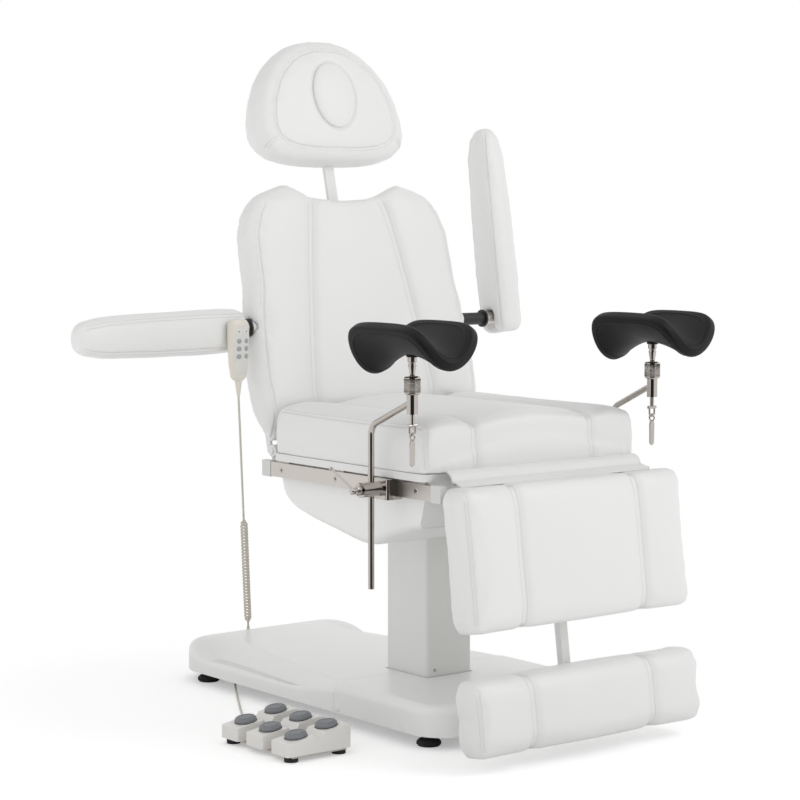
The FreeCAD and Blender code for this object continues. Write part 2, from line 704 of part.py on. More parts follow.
def back_section():
    low, high = -2.0, D.back_front - 9
    slices = []
    for q, half in BACK_OUTLINE:
        ease = min(1.0, (q - 18) / 80.0 + 0.12)
        edge = low + (high - low) * ease
        if q > 540:
            edge -= 8 * (q - 540) / 32
        seam = min(back_seam(q), half - 40)
        slices.append(panel_slice(half, seam, low, edge, 9 * ease, q, dip=8 * ease, bulge=8))
    cushion = standing(slices).cut(notch_tool())
    wells = [cylinder(Vector(sign * 240 - 60, D.arm_y, D.arm_q), 17.6, 120, X_AXIS) for _, sign in SIDES]
    blocks = [box(Vector(sign * 240 - 47, -15, D.arm_q - 13), Vector(sign * 240 + 47, 5, D.arm_q + 13))
              for _, sign in SIDES]
    solid("back_cushion", cushion.cut(wells + blocks), BACK)

    rows = [(66, 268)] + [(q, half - 5) for q, half in BACK_OUTLINE[2:-1]] + [(566, 158)]

    def tray(inset, front, rear):
        """The rear cover as nested slices: wide at the cushion, narrower at the rear."""
        wires = []
        for q, half in rows:
            place = q - (inset if q in (rows[0][0], rows[-1][0]) else 0)
            wide, slim = half - inset, half - inset - 12
            wires.append(polygon([(-wide, front, place), (wide, front, place), (wide, front + 6, place),
                                  (slim, rear, place), (-slim, rear, place), (-wide, front + 6, place)]))
        return loft(wires)

    shell = tray(0, 2.6, 22).cut([tray(3, 2.0, 19), notch_tool()])
    bar_way = box(Vector(-20, 0, 500), Vector(20, 18.5, 580))
    solid("back_shell", shell.cut(bar_way), BACK)

    parts = []
    for _, sign in SIDES:
        parts.append(box(Vector(sign * 215 - 12, 3.5, 42), Vector(sign * 215 + 12, 17.5, 440)))
        parts.append(box(Vector(sign * 261 - 3, 3.5, -2), Vector(sign * 261 + 3, 17.5, 60)))
        parts.append(cylinder(Vector(sign * 261 - 3, 0, 0), 13, 6, X_AXIS))
    for q0, q1, reach in ((42, 60, 264), (252, 277, 203), (422, 440, 203)):
        parts.append(box(Vector(-reach, 3.5, q0), Vector(reach, 17.5, q1)))
    parts.append(box(Vector(-16, 3.5, 380), Vector(16, 17.5, 520)))
    pivot = BACK.inverse().multVec(BACK_PIVOT)
    reach = 13
    away = Vector(0, pivot.y, pivot.z).normalize()
    square = Vector(0, -away.z, away.y) * reach
    tip = pivot + away * reach
    blade = [(0, 4, 58), (0, 17, 58)] + [tuple(p) for p in sorted(
        (tip + square, tip - square), key=lambda p: -p.y)]
    lever = prism(blade, Vector(8, 0, 0))
    lever.translate(Vector(-LEVER_X - 4, 0, 0))
    bores = [cylinder(Vector(sign * 261 - 20, 0, 0), 6.05, 40, X_AXIS) for _, sign in SIDES]
    way = box(Vector(-12.6, 5.9, 300), Vector(12.6, 14.1, 600))
    eye = cylinder(Vector(-LEVER_X - 10, pivot.y, pivot.z), 5, 20, X_AXIS)
    frame = parts[0].fuse(parts[1:] + [lever]).cut(bores + [way, eye]).removeSplitter()
    solid("back_frame", frame, BACK)

    sockets = []
    for _, sign in SIDES:
        inner_end, outer_end = sorted((sign * 195, sign * D.socket_end))
        pipe = cylinder(Vector(inner_end, D.arm_y, D.arm_q), 17, outer_end - inner_end, X_AXIS)
        foot = box(Vector(sign * 235 - 38, -14, D.arm_q - 12), Vector(sign * 235 + 38, 3.5, D.arm_q + 12))
        bore = cylinder(Vector(inner_end - 5, D.arm_y, D.arm_q), D.sleeve_radius + FIT,
                        outer_end - inner_end + 10, X_AXIS)
        sockets.append(pipe.fuse(foot).cut(bore))
    solid("arm_sockets", Part.makeCompound(sockets), BACK)


# Head section

HEAD_MIDDLE = -2.0
# Outline of the head rest: height up the back, half width, half depth
HEAD_OUTLINE = ((626, 84, 22), (631, 128, 32), (642, 168, 41), (662, 194, 47), (690, 204, 50),
                (722, 203, 51), (765, 194, 51), (808, 175, 50), (846, 147, 46), (874, 116, 41),
                (893, 84, 34), (904, 48, 26))


def head_section():
    slices = [pillow_slice(half, -HEAD_MIDDLE - deep * 0.72, -HEAD_MIDDLE + deep * 0.72, q,
                           bulge=min(16, half * 0.2), crown=deep * 0.28) for q, half, deep in HEAD_OUTLINE]
    head = standing(slices)
    well = box(Vector(-13.5, 4.5, 600), Vector(13.5, 15.5, 702))
    head = head.cut(well)
    solid("head_cushion", head, BACK)
    rings = []
    for y, wide, tall in ((-30, 50, 82), (-52, 55, 88), (-58, 50, 82), (-61, 38, 68)):
        oval = Part.Ellipse(Vector(0, y, 782 + tall), Vector(wide, y, 782), Vector(0, y, 782)).toShape()
        rings.append(Part.Wire(oval))
    solid("head_inset", loft(rings).cut(head), BACK)
    bar = box(Vector(-12.5, 6, 425), Vector(12.5, 14, 700))
    solid("head_bar", bar, BACK)


# Leg and foot sections: local axes with the hinge at the origin, hanging along -Z, front to -Y

def leg_section():
    back = D.leg_back
    hung = LEG.multiply(Placement(Vector(), Rotation(Y_AXIS, 180) * Rotation(X_AXIS, 90)))
    solid("calf_cushion", seat_like(D.calf_half, 160, 12, 293, back + PLAY, back + 66, 9), hung)
    solid("foot_cushion", seat_like(D.foot_half, 158, 380, 532, back + PLAY, back + 64, 9, tuck=20), hung)

    parts = [cylinder(Vector(-196, 0, 0), 11, 392, X_AXIS)]
    for _, sign in SIDES:
        parts.append(box(Vector(sign * 130 - 12, -back + 0.5, -265), Vector(sign * 130 + 12, -8, -2)))
    parts.append(box(Vector(-210, -back, -270), Vector(210, -back + 5, -40)))
    parts.append(box(Vector(-14.5, -back, -286), Vector(14.5, -5, -120)))
    pivot = LEG.inverse().multVec(LEG_PIVOT)
    away = Vector(0, pivot.y, pivot.z).normalize()
    square = Vector(0, -away.z, away.y)
    tip = pivot + away * 12
    lever = prism([tuple(square * 9), tuple(tip + square * 12), tuple(tip - square * 12), tuple(-square * 9)],
                  Vector(8, 0, 0))
    lever.translate(Vector(LEVER_X - 4, 0, 0))
    bores = [cylinder(Vector(sign * 190 - 20, 0, 0), 7.05, 40, X_AXIS) for _, sign in SIDES]
    way = box(Vector(-10.1, -25.1, -400), Vector(10.1, -8.9, -60))
    eye = cylinder(Vector(LEVER_X - 10, pivot.y, pivot.z), 5, 20, X_AXIS)
    frame = parts[0].fuse(parts[1:] + [lever]).cut(bores + [way, eye]).removeSplitter()
    solid("leg_frame", frame, LEG)

    bar = box(Vector(-10, -25, -480), Vector(10, -9, -150))
    board = box(Vector(-200, -back, -512), Vector(200, -25, -400))
    solid("foot_bar", bar.fuse(board).removeSplitter(), LEG)

    # The flap is a rolled sheet about the hinge, open at its ends and below
    def on_roll(radius, degrees):
        angle = math.radians(degrees)
        return (0, -radius * math.cos(angle), radius * math.sin(angle))

    outer, inner, first, last = 24.0, 21.4, 5, 112
    middle = (first + last) / 2
    edges = [arc(on_roll(outer, first), on_roll(outer, middle), on_roll(outer, last)),
             Part.makeLine(Vector(*on_roll(outer, last)), Vector(*on_roll(inner, last))),
             arc(on_roll(inner, last), on_roll(inner, middle), on_roll(inner, first)),
             Part.makeLine(Vector(*on_roll(inner, first)), Vector(*on_roll(outer, first)))]
    sheet_form = Part.Face(Part.Wire(edges)).extrude(Vector(506, 0, 0))
    sheet_form.translate(Vector(-253, 0, 0))
    solid("leg_bridge", sheet_form, LEG)


# Arm rests: local axes with the pivot at the origin, the arm along -Y and its inner side to +X

# Stations along an arm: distance from the pivot, half width, underside, top
ARM_STATIONS = ((-36, 20, -28, 22), (-31, 30, -38, 31), (-16, 36, -44, 37), (100, 38, -45, 38),
                (250, 37, -42, 37), (370, 33, -38, 34), (414, 27, -31, 28), (433, 18, -22, 19),
                (440, 9, -12, 10))
FLANGE = 4.0


def arm_parts():
    """Sleeve, bracket and cushion of the right arm in local axes."""
    reach = D.arm_reach
    spindle = cylinder(Vector(reach - 24, 0, 0), 8, 24 + FLANGE, X_AXIS)
    flange = cylinder(Vector(reach, 0, 0), 20, FLANGE, X_AXIS)
    pipe = cylinder(Vector(reach + FLANGE, 0, 0), D.sleeve_radius, D.sleeve_long, X_AXIS)
    hollow = cylinder(Vector(reach + FLANGE + 12, 0, 0), D.sleeve_radius - 4, D.sleeve_long, X_AXIS)
    sleeve = spindle.fuse([flange, pipe]).cut(hollow).removeSplitter()

    barrel = cylinder(Vector(-11, 0, 0), 14, reach + 10.5, X_AXIS)
    pin = cylinder(Vector(0, 0, -27), 5, 54)
    bore = cylinder(Vector(reach - 26, 0, 0), 8.05, 40, X_AXIS)
    bracket = barrel.fuse(pin).cut(bore).removeSplitter()

    slices = [pillow_slice(half, low, high, -b, bulge=min(7, half * 0.3), crown=5)
              for b, half, low, high in ARM_STATIONS]
    cushion = loft(slices)
    cavity = box(Vector(-18.5, -18.5, -15), Vector(48, 48, 15))
    pin_bore = cylinder(Vector(0, 0, -27.6), 5.05, 55.2)
    return sleeve, bracket, cushion.cut([cavity, pin_bore])


def arm_axis():
    """A point on the arm sockets' common axis."""
    return BACK.multVec(Vector(0, D.arm_y, D.arm_q))


def arm_pivot(sign, drawn):
    reach = D.socket_end + 0.5 + FLANGE + D.arm_reach + drawn
    return Vector(sign * reach, arm_axis().y, arm_axis().z)


RIGHT_ARM = Placement(arm_pivot(-1, 0), Rotation(Z_AXIS, -D.arm_swing))


def arms():
    poses = {"right": (Placement(arm_pivot(-1, 0), Rotation()), RIGHT_ARM),
             "left": (Placement(arm_pivot(1, D.arm_drawn), Rotation(X_AXIS, -D.arm_raise)),) * 2}
    for side, sign in SIDES:
        root, arm = poses[side]
        for name, shape, place in zip(("sleeve", "bracket", "cushion"), arm_parts(), (root, root, arm)):
            if sign > 0:
                shape = shape.mirror(Vector(), X_AXIS)
            solid(f"arm_{name}_{side}", shape, place)


# Handset on the right arm's inner side, with its curled cord to the base

HANDSET_Y, HANDSET_IN = -22.0, 53.0
HANDSET_TOP, HANDSET_LOW, RELIEF_LOW = 22.0, -105.0, -136.0


def handset():
    def ring(half, z, thick):
        return pillow_slice(half, -thick, thick, z, bulge=6, crown=3)

    rows = ((HANDSET_LOW, 13, 7), (-98, 20, 9), (-70, 25, 10), (-10, 28, 11), (14, 27, 10),
            (HANDSET_TOP, 21, 8))
    body = loft([ring(half, z, thick) for z, half, thick in rows])
    body.Placement = Placement(Vector(HANDSET_IN, HANDSET_Y, 0), Rotation(Z_AXIS, 90) * Rotation(X_AXIS, 90))
    relief = revolved(((0, RELIEF_LOW), (3.6, RELIEF_LOW), (7.5, HANDSET_LOW - 4), (7.5, HANDSET_LOW + 6),
                       (0, HANDSET_LOW + 6)), Vector(HANDSET_IN, HANDSET_Y, 0))
    hook = box(Vector(38.1, HANDSET_Y - 9, -10), Vector(HANDSET_IN - 6, HANDSET_Y + 9, 8))
    solid("handset_body", body.fuse([relief, hook]), RIGHT_ARM)


SOCKET = Vector(-20, 0, 53)
ELBOW = Vector(-20, 655, 90)
CURL_TOP_Z = 392.0
CURL_PITCH = 11.5


def biarc(p0, t0, p1, t1):
    """Two arcs from p0 along t0 to p1 along t1, smooth where they meet."""
    gap, both = p1 - p0, t0 + t1
    a, b, c = both.dot(both) - 4, -2 * gap.dot(both), gap.dot(gap)
    reach = (-b - math.sqrt(b * b - 4 * a * c)) / (2 * a)
    first, last = p0 + t0 * reach, p1 - t1 * reach
    joint = (first + last) * 0.5
    edges = []
    for start, corner, end in ((p0, first, joint), (joint, last, p1)):
        chord = (start + end) * 0.5
        half = (end - start).Length / 2
        turn = (corner - start).getAngle(end - corner)
        rise = (corner - chord).normalize() * (half * math.tan(turn / 4))
        edges.append(Part.Arc(start, chord + rise, end).toShape())
    return edges


def handset_cord():
    top = RIGHT_ARM.multVec(Vector(HANDSET_IN, HANDSET_Y, RELIEF_LOW))
    axis = ELBOW - top
    span = axis.Length
    axis.normalize()
    lead, tail = 8.0, 26.0
    split = (top.z - CURL_TOP_Z) / (top.z - ELBOW.z) * span
    clear = D.wire_radius * math.tan(axis.getAngle(-Z_AXIS)) + PLAY
    straight = cylinder(top + axis * clear, D.wire_radius, split - clear, axis)
    solid("handset_cord", straight)

    across = axis.cross(Z_AXIS).normalize()
    other = axis.cross(across)
    begin, finish = split + lead + 12, span - tail
    turns = int((finish - begin) / CURL_PITCH)
    pitch = (finish - begin) / turns
    radius = D.curl_radius

    def at(turn):
        angle = 2 * math.pi * turn
        out = across * math.cos(angle) + other * math.sin(angle)
        point = top + axis * (begin + pitch * turn) + out * radius
        along = (other * math.cos(angle) - across * math.sin(angle)) * (2 * math.pi * radius) + axis * pitch
        return point, along.normalize()

    entry = top + axis * split
    edges = [Part.LineSegment(entry, entry + axis * lead).toShape()]
    edges += biarc(entry + axis * lead, axis, *at(0))
    for half_turn in range(2 * turns):
        edges += biarc(*at(half_turn / 2), *at((half_turn + 1) / 2))
    leave = top + axis * (finish + 12)
    edges += biarc(*at(turns), leave, axis)
    edges.append(Part.LineSegment(leave, ELBOW).toShape())
    ring = Part.Wire(Part.makeCircle(D.wire_radius, entry, axis))
    curl = Part.Wire(edges).makePipeShell([ring], True, False)

    samples = [at(i / 24)[0] for i in range(24 * turns + 1)]
    gap = min((samples[i] - samples[j]).Length for i in range(len(samples))
              for j in range(i + 14, min(i + 40, len(samples)))) - 2 * D.wire_radius
    length = sum(edge.Length for edge in edges)
    print("handset cord: straight %.0f, curl %d turns of %.0f wire, least gap %.2f, volume ratio %.3f" % (
        split, turns, length, gap, curl.Volume / (math.pi * D.wire_radius ** 2 * length)))

    plug = cylinder(Vector(SOCKET.x, 628.5, SOCKET.z), 5.8, 16, Y_AXIS)
    grip = cylinder(Vector(SOCKET.x, D.base_rear - 1, SOCKET.z), 8.5, ELBOW.y - D.base_rear + 9, Y_AXIS)
    neck = Part.makeCone(7.5, 4.2, (ELBOW - Vector(ELBOW.x, ELBOW.y, SOCKET.z)).Length,
                         Vector(ELBOW.x, ELBOW.y, SOCKET.z), Z_AXIS)
    boot = plug.fuse([grip, neck])
    boot = boot.cut(curl)
    solid("handset_curl", Part.makeCompound([curl] + boot.Solids))


# Stirrups on the side rails

def mirrored(shape, sign):
    """Pieces are drawn on the left side; the right side is their mirror image."""
    return shape if sign > 0 else shape.mirror(Vector(), X_AXIS)


def rail_clamp():
    y, z = D.stirrup_y, D.rail_low + D.rail_tall / 2
    rail_top = D.rail_low + D.rail_tall
    body = box(Vector(D.rail_out + PLAY, y - 24, D.rail_low - 6), Vector(304, y + 24, rail_top + 3.7))
    body = body.makeFillet(6, [e for e in body.Edges if upright(e) and e.Vertexes[0].Point.x > 300])
    lower = box(Vector(266.5, y - 24, D.rail_low - 6), Vector(D.rail_out + 1, y + 24, D.rail_low - PLAY))
    upper = box(Vector(275, y - 24, rail_top + PLAY), Vector(D.rail_out + 1, y + 24, rail_top + 3.7))
    barrel = cylinder(Vector(302, y, z), 15, 50, X_AXIS)
    rod_bore = cylinder(Vector(D.stirrup_x, y, z - 40), D.rod_radius + FIT, 80)
    screw_bore = cylinder(Vector(336, y, z), 5.05, 30, X_AXIS)
    return body.fuse([lower, upper, barrel]).removeSplitter().cut([rod_bore, screw_bore])


def clamp_screw():
    y, z = D.stirrup_y, D.rail_low + D.rail_tall / 2
    screw = cylinder(Vector(337, y, z), 5, 16, X_AXIS)
    knob = revolved(((0, 352.6), (9, 352.6), (10, 354), (10, 360), (7, 363), (7, 374), (5, 376), (0, 376)),
                    Vector(0, y, z), X_AXIS)
    lean = Vector(0, 0.9, 0.436)
    middle = Vector(368, y, z)
    bar = cylinder(middle - lean * 12, 2.6, 96, lean)
    ends = [Part.makeSphere(4.5, middle + lean * 84), Part.makeSphere(3.6, middle - lean * 12)]
    return screw.fuse([knob, bar] + ends).removeSplitter()


def stirrup_rod():
    x, y, ball = D.stirrup_x, D.stirrup_y, Vector(D.ball_x, D.ball_y, D.ball_z)
    bar = tube(bent_path([(x, y, 328), (x, y, 652), (ball.x, ball.y + 6, ball.z - 36)], [30]), D.rod_radius)
    head = cylinder(Vector(ball.x, ball.y, ball.z - 58), 11, 42)
    collar = revolved(((0, -20), (13, -20), (16, -17), (16, 13), (14, 15), (0, 15)), ball)
    cup = Part.makeSphere(10.05, ball)
    mouth = Part.makeCone(8.0, 13.2, 9.5, ball + Vector(0, 0, 6))
    screw_bore = cylinder(Vector(ball.x, ball.y, ball.z - 60), 4.55, 26)
    return bar.fuse([head, collar]).cut([cup, mouth, screw_bore]).removeSplitter()


def ball_stud():
    ball = Vector(D.ball_x, D.ball_y, D.ball_z)
    stem = revolved(((0, 6), (4.6, 6), (4.6, 16), (5.5, 20), (8.2, 36), (8.2, 38), (7, 38), (7, 42), (9, 43),
                     (9, 52), (6, 52), (6, 66), (0, 66)), ball)
    return Part.makeSphere(10, ball).fuse(stem).removeSplitter()


def knee_pad():
    """A saddle: its sides rise round the leg and its ends drop away, on a hub that turns on the stud."""
    thick, rise, droop = 25.0, 44.0, 34.0
    base = D.ball_z + 57
    slices = []
    for share in (-1, -0.94, -0.8, -0.5, 0, 0.5, 0.8, 0.94, 1):
        along = share * D.pad_long
        half = D.pad_half * (1 - 0.42 * abs(share) ** 7)
        low = base - droop * share ** 2
        edge = rise * (half / D.pad_half) ** 2

        def at(x, z):
            return Vector(D.ball_x + x, D.ball_y + along, low + z)

        taper = thick * (1 - 0.35 * abs(share) ** 7)
        lift = thick - taper
        slices.append(Part.Wire([
            Part.Arc(at(-half, edge + lift / 2), at(0, lift / 2), at(half, edge + lift / 2)).toShape(),
            Part.makeLine(at(half, edge + lift / 2), at(half * 0.93, edge + lift / 2 + taper)),
            Part.Arc(at(half * 0.93, edge + lift / 2 + taper), at(0, lift / 2 + taper),
                     at(-half * 0.93, edge + lift / 2 + taper)).toShape(),
            Part.makeLine(at(-half * 0.93, edge + lift / 2 + taper), at(-half, edge + lift / 2)),
        ]))
    pad_form = loft(slices)
    hub = cylinder(Vector(D.ball_x, D.ball_y, D.ball_z + 52.4), 12, 14)
    bore = cylinder(Vector(D.ball_x, D.ball_y, D.ball_z + 40), 6.05, 26.6)
    return pad_form.fuse(hub).cut(bore)


def ball_lever():
    """The locking screw below the ball, its shackle and the hanging paddle that turns it."""
    x, y, top = D.ball_x, D.ball_y, D.ball_z - 58
    screw = cylinder(Vector(x, y, top - 20), 4.5, 40)
    cross = cylinder(Vector(x - 10.5, y, top - 22), 3.4, 21, X_AXIS)
    legs = [(x - 7, y, top - 22), (x - 7, y, top - 34)]
    far = [(x + 7, y, top - 34), (x + 7, y, top - 22)]
    bow = [Part.makeLine(Vector(*legs[0]), Vector(*legs[1])),
           Part.Arc(Vector(*legs[1]), Vector(x, y, top - 41), Vector(*far[0])).toShape(),
           Part.makeLine(Vector(*far[0]), Vector(*far[1]))]
    shackle = screw.fuse([cross, tube(bow, 2)]).removeSplitter()
    eye = Part.makeTorus(7, 1.8, Vector(x, y, top - 43.6), X_AXIS)
    blade = prism([(x - 3.5, y - 2, top - 50), (x + 3.5, y - 2, top - 50), (x + 6, y - 2, top - 58),
                   (x + 5, y - 2, top - 98), (x, y - 2, top - 102), (x - 5, y - 2, top - 98),
                   (x - 6, y - 2, top - 58)], Vector(0, 4, 0))
    return Part.makeCompound([shackle, eye.fuse(blade).removeSplitter()])


def stirrups():
    makers = (("rail_clamp", rail_clamp), ("clamp_screw", clamp_screw), ("stirrup_rod", stirrup_rod),
              ("ball_stud", ball_stud), ("knee_pad", knee_pad), ("ball_lever", ball_lever))
    for side, sign in SIDES:
        for name, make in makers:
            solid(f"{name}_{side}", mirrored(make(), sign))


base_frame()
levelling_feet()
base_covers()
column()
control_box()
foot_control()
pedal_cord()
seat_section()
actuators()
back_section()
head_section()
leg_section()
arms()
handset()
handset_cord()
stirrups()
doc.recompute()

for obj in doc.Objects:
    if "Invalid" in obj.State or "Error" in obj.State:
        raise RuntimeError(f"{obj.Label} failed: {obj.State}")
for label, obj in NODES.items():
    if obj.Shape.isNull() or not obj.Shape.isValid() or obj.Shape.Volume <= 0:
        raise RuntimeError(f"{label} has no sound shape")

# The files are written about the middle of the floor area that the chair takes up
os.makedirs("parts", exist_ok=True)
stand = Vector(D.origin_x, D.origin_y, 0)
for label, obj in NODES.items():
    obj.Shape.translated(stand).exportStep(f"parts/{label}.step")
print(len(NODES), "parts written")
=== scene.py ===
# %% [markdown]
# # A gynecological chair, dressed
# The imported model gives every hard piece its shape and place, in metres and in one frame. This
# lesson adds the camera, light, cords, upholstery, stitching and surface finishes. Each soft piece
# is made in the space that its CAD solid holds, so nothing has to be fitted by eye.

import json
import math
from collections import defaultdict
from contextlib import contextmanager

import bmesh
import bpy
import numpy as np
from mathutils import Matrix, Vector, noise
from mathutils.bvhtree import BVHTree
from mathutils.kdtree import KDTree

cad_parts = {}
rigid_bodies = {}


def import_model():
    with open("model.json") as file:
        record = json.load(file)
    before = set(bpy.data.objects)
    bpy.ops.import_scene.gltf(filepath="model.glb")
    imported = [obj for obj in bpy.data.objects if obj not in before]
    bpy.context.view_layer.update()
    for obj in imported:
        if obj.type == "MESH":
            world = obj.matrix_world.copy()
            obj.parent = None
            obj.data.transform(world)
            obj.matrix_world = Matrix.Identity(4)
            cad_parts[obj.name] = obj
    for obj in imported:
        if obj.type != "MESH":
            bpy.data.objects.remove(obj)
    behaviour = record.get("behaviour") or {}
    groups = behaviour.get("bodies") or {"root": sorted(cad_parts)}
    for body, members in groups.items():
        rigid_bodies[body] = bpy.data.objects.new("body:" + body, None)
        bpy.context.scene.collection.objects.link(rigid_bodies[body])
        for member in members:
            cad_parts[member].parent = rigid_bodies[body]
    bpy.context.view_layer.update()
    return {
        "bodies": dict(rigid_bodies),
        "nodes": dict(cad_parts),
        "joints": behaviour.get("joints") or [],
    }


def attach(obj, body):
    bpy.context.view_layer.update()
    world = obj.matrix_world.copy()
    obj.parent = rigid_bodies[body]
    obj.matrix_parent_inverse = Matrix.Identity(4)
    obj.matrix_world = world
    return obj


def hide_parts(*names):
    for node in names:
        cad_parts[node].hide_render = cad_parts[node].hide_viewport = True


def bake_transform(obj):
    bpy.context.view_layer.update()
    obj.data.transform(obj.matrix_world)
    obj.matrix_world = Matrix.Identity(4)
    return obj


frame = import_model()
NODES = frame["nodes"]
JOINTS = {joint["name"]: joint for joint in frame["joints"]}
scene = bpy.context.scene
print(len(NODES), "nodes on", len(frame["bodies"]), "bodies")

# %% [markdown]
# ## Places on the chair
# The drawing measures from the lifting column's axis on the floor, with the chair facing -Y. The
# back's hinge is a known distance from there, so its joint gives the shift to the row frame. The
# back, the leg rest and the arms lean, and their pieces are easier to place in their own axes.

# %% Frames of reference
BACK_HINGE_MM, LEG_HINGE_MM = Vector((0, 205, 562)), Vector((0, -361, 547))
BACK_LEAN, LEG_LEAN = math.radians(-13.5), math.radians(-8)
RIGHT_TURN, LEFT_TURN = math.radians(-77), math.radians(-98.6)
MM = Matrix.Scale(0.001, 4)
SIDES = (("right", -1), ("left", 1))
UP = (0, 0, 1)


def pivot(joint):
    return Vector(JOINTS[joint]["pos_m"])


def at(place, *point):
    """A point in millimetres of one of the places below, in the row frame's metres."""
    return place @ Vector(point)


CHAIR = Matrix.Translation(pivot("back_recline") - BACK_HINGE_MM / 1000) @ MM
BACK = CHAIR @ Matrix.Translation(BACK_HINGE_MM) @ Matrix.Rotation(BACK_LEAN, 4, "X")
LEG = CHAIR @ Matrix.Translation(LEG_HINGE_MM) @ Matrix.Rotation(LEG_LEAN, 4, "X")
RIGHT_ARM = Matrix.Translation(pivot("arm_raise_right")) @ Matrix.Rotation(RIGHT_TURN, 4, "Z") @ MM
LEFT_ARM = Matrix.Translation(pivot("arm_raise_left")) @ Matrix.Rotation(LEFT_TURN, 4, "X") @ MM
print("column axis at", [round(v, 3) for v in at(CHAIR, 0, 0, 0)])

# %% [markdown]
# ## The camera
# The photograph shows parallel uprights, so the lens is long and far away. Its place, heading and
# field of view were solved from known points of the chair: the column, the rails and the base's
# corners.

# %% Camera
PHOTO_PIXELS, FOCAL_PIXELS, SENSOR_MM, CLIP_END = 800, 2330, 36.0, 200
YAW, PITCH = math.radians(38.20), math.radians(4.98)
camera = bpy.data.objects.new("camera", bpy.data.cameras.new("camera"))
camera.data.sensor_width = SENSOR_MM
camera.data.lens = FOCAL_PIXELS / PHOTO_PIXELS * SENSOR_MM
camera.data.clip_end = CLIP_END
camera.location = at(CHAIR, -3103, -3843, 1101)
camera.rotation_euler = (math.pi / 2 - PITCH, 0, -YAW)
scene.collection.objects.link(camera)
scene.camera = camera
print("lens", round(camera.data.lens, 1), "mm")

# %% [markdown]
# ## Shader nodes
# Every finish below is a small node tree. One function adds a node with its settings and connects
# or sets its inputs, and colours are written as the sRGB hex that a picture program shows.

# %% Node helper
def rgb(code):
    """Linear colour of an sRGB hex such as E4E4E2."""
    shares = [int(code[i:i + 2], 16) / 255 for i in (0, 2, 4)]
    return [s / 12.92 if s <= 0.04045 else ((s + 0.055) / 1.055) ** 2.4 for s in shares] + [1.0]


def add(tree, kind, inputs=None, **settings):
    """A new node: inputs are values or other nodes' outputs by socket, settings its properties."""
    made = tree.nodes.new(kind)
    for key, value in settings.items():
        setattr(made, key, value)
    for key, value in (inputs or {}).items():
        if isinstance(value, bpy.types.NodeSocket):
            tree.links.new(value, made.inputs[key])
        else:
            made.inputs[key].default_value = value
    return made


def fresh_tree(owner):
    """The emptied node tree of a new material or world."""
    owner.use_nodes = True
    owner.node_tree.nodes.clear()
    return owner.node_tree


# %% [markdown]
# ## Studio
# The picture has a white ground with only a faint shadow under the chair. A wide floor is lit like
# the chair near it, with a little glow that only the camera sees, and turns into plain white
# further out. The sky is white to the eye and in polished steel, and softer to everything that it
# lights.

# %% Floor and sky
FLOOR_HALF, FLOOR_LOW, FLOOR_LIFT = 60.0, -0.0004, 0.34
LIT_RADIUS, WHITE_RADIUS = 0.62, 1.1
LOW_SKY, HIGH_SKY = (-0.25, 0.70), (0.75, 0.66)
WHITE = rgb("FFFFFF")
scene.view_settings.view_transform = "Standard"


def stage_sheet(name, corners, faces, material):
    """A sheet of the studio, which is no part of the chair."""
    mesh = bpy.data.meshes.new(name)
    mesh.from_pydata(corners, [], faces)
    mesh.materials.append(material)
    sheet = bpy.data.objects.new(name, mesh)
    scene.collection.objects.link(sheet)
    return sheet


def math_node(tree, operation, first, second):
    return add(tree, "ShaderNodeMath", {0: first, 1: second}, operation=operation).outputs[0]


def smooth_range(tree, value, start, end, low=0.0, high=1.0):
    """A smooth step of a value, from low at start to high at end."""
    made = add(tree, "ShaderNodeMapRange", {
        "Value": value, "From Min": start, "From Max": end, "To Min": low, "To Max": high},
        interpolation_type="SMOOTHSTEP")
    return made.outputs["Result"]


paper = bpy.data.materials.new("white_paper_floor")
tree = fresh_tree(paper)
place = add(tree, "ShaderNodeTexCoord")
radius = add(tree, "ShaderNodeVectorMath", {0: place.outputs["Object"]}, operation="LENGTH")
far = smooth_range(tree, radius.outputs["Value"], LIT_RADIUS, WHITE_RADIUS)
matt = add(tree, "ShaderNodeBsdfDiffuse", {"Color": rgb("F4F4F4")})
ray = add(tree, "ShaderNodeLightPath")
lift = math_node(tree, "MULTIPLY", ray.outputs["Is Camera Ray"], FLOOR_LIFT)
lifted = add(tree, "ShaderNodeEmission", {"Color": WHITE, "Strength": lift})
near = add(tree, "ShaderNodeAddShader", {0: matt.outputs[0], 1: lifted.outputs[0]})
glow = add(tree, "ShaderNodeEmission", {"Color": WHITE, "Strength": 1.0})
both = add(tree, "ShaderNodeMixShader", {"Fac": far, 1: near.outputs[0], 2: glow.outputs[0]})
add(tree, "ShaderNodeOutputMaterial", {"Surface": both.outputs[0]})
ends = (-FLOOR_HALF, FLOOR_HALF)
stage_sheet("floor", [(x, y, FLOOR_LOW) for x in ends for y in ends], [(0, 2, 3, 1)], paper)

scene.world = bpy.data.worlds.new("studio")
tree = fresh_tree(scene.world)
ray = add(tree, "ShaderNodeLightPath")
direct = math_node(tree, "MAXIMUM", ray.outputs["Is Camera Ray"], ray.outputs["Is Transmission Ray"])
seen = math_node(tree, "MAXIMUM", direct, ray.outputs["Is Glossy Ray"])
heading = add(tree, "ShaderNodeTexCoord")
height = add(tree, "ShaderNodeSeparateXYZ", {0: heading.outputs["Generated"]})
shade = smooth_range(tree, height.outputs["Z"], LOW_SKY[0], HIGH_SKY[0], LOW_SKY[1], HIGH_SKY[1])
soft = add(tree, "ShaderNodeBackground", {"Color": WHITE, "Strength": shade})
white = add(tree, "ShaderNodeBackground", {"Color": WHITE, "Strength": 1.0})
both = add(tree, "ShaderNodeMixShader", {"Fac": seen, 1: soft.outputs[0], 2: white.outputs[0]})
add(tree, "ShaderNodeOutputWorld", {"Surface": both.outputs[0]})
print("floor", 2 * FLOOR_HALF, "m wide")

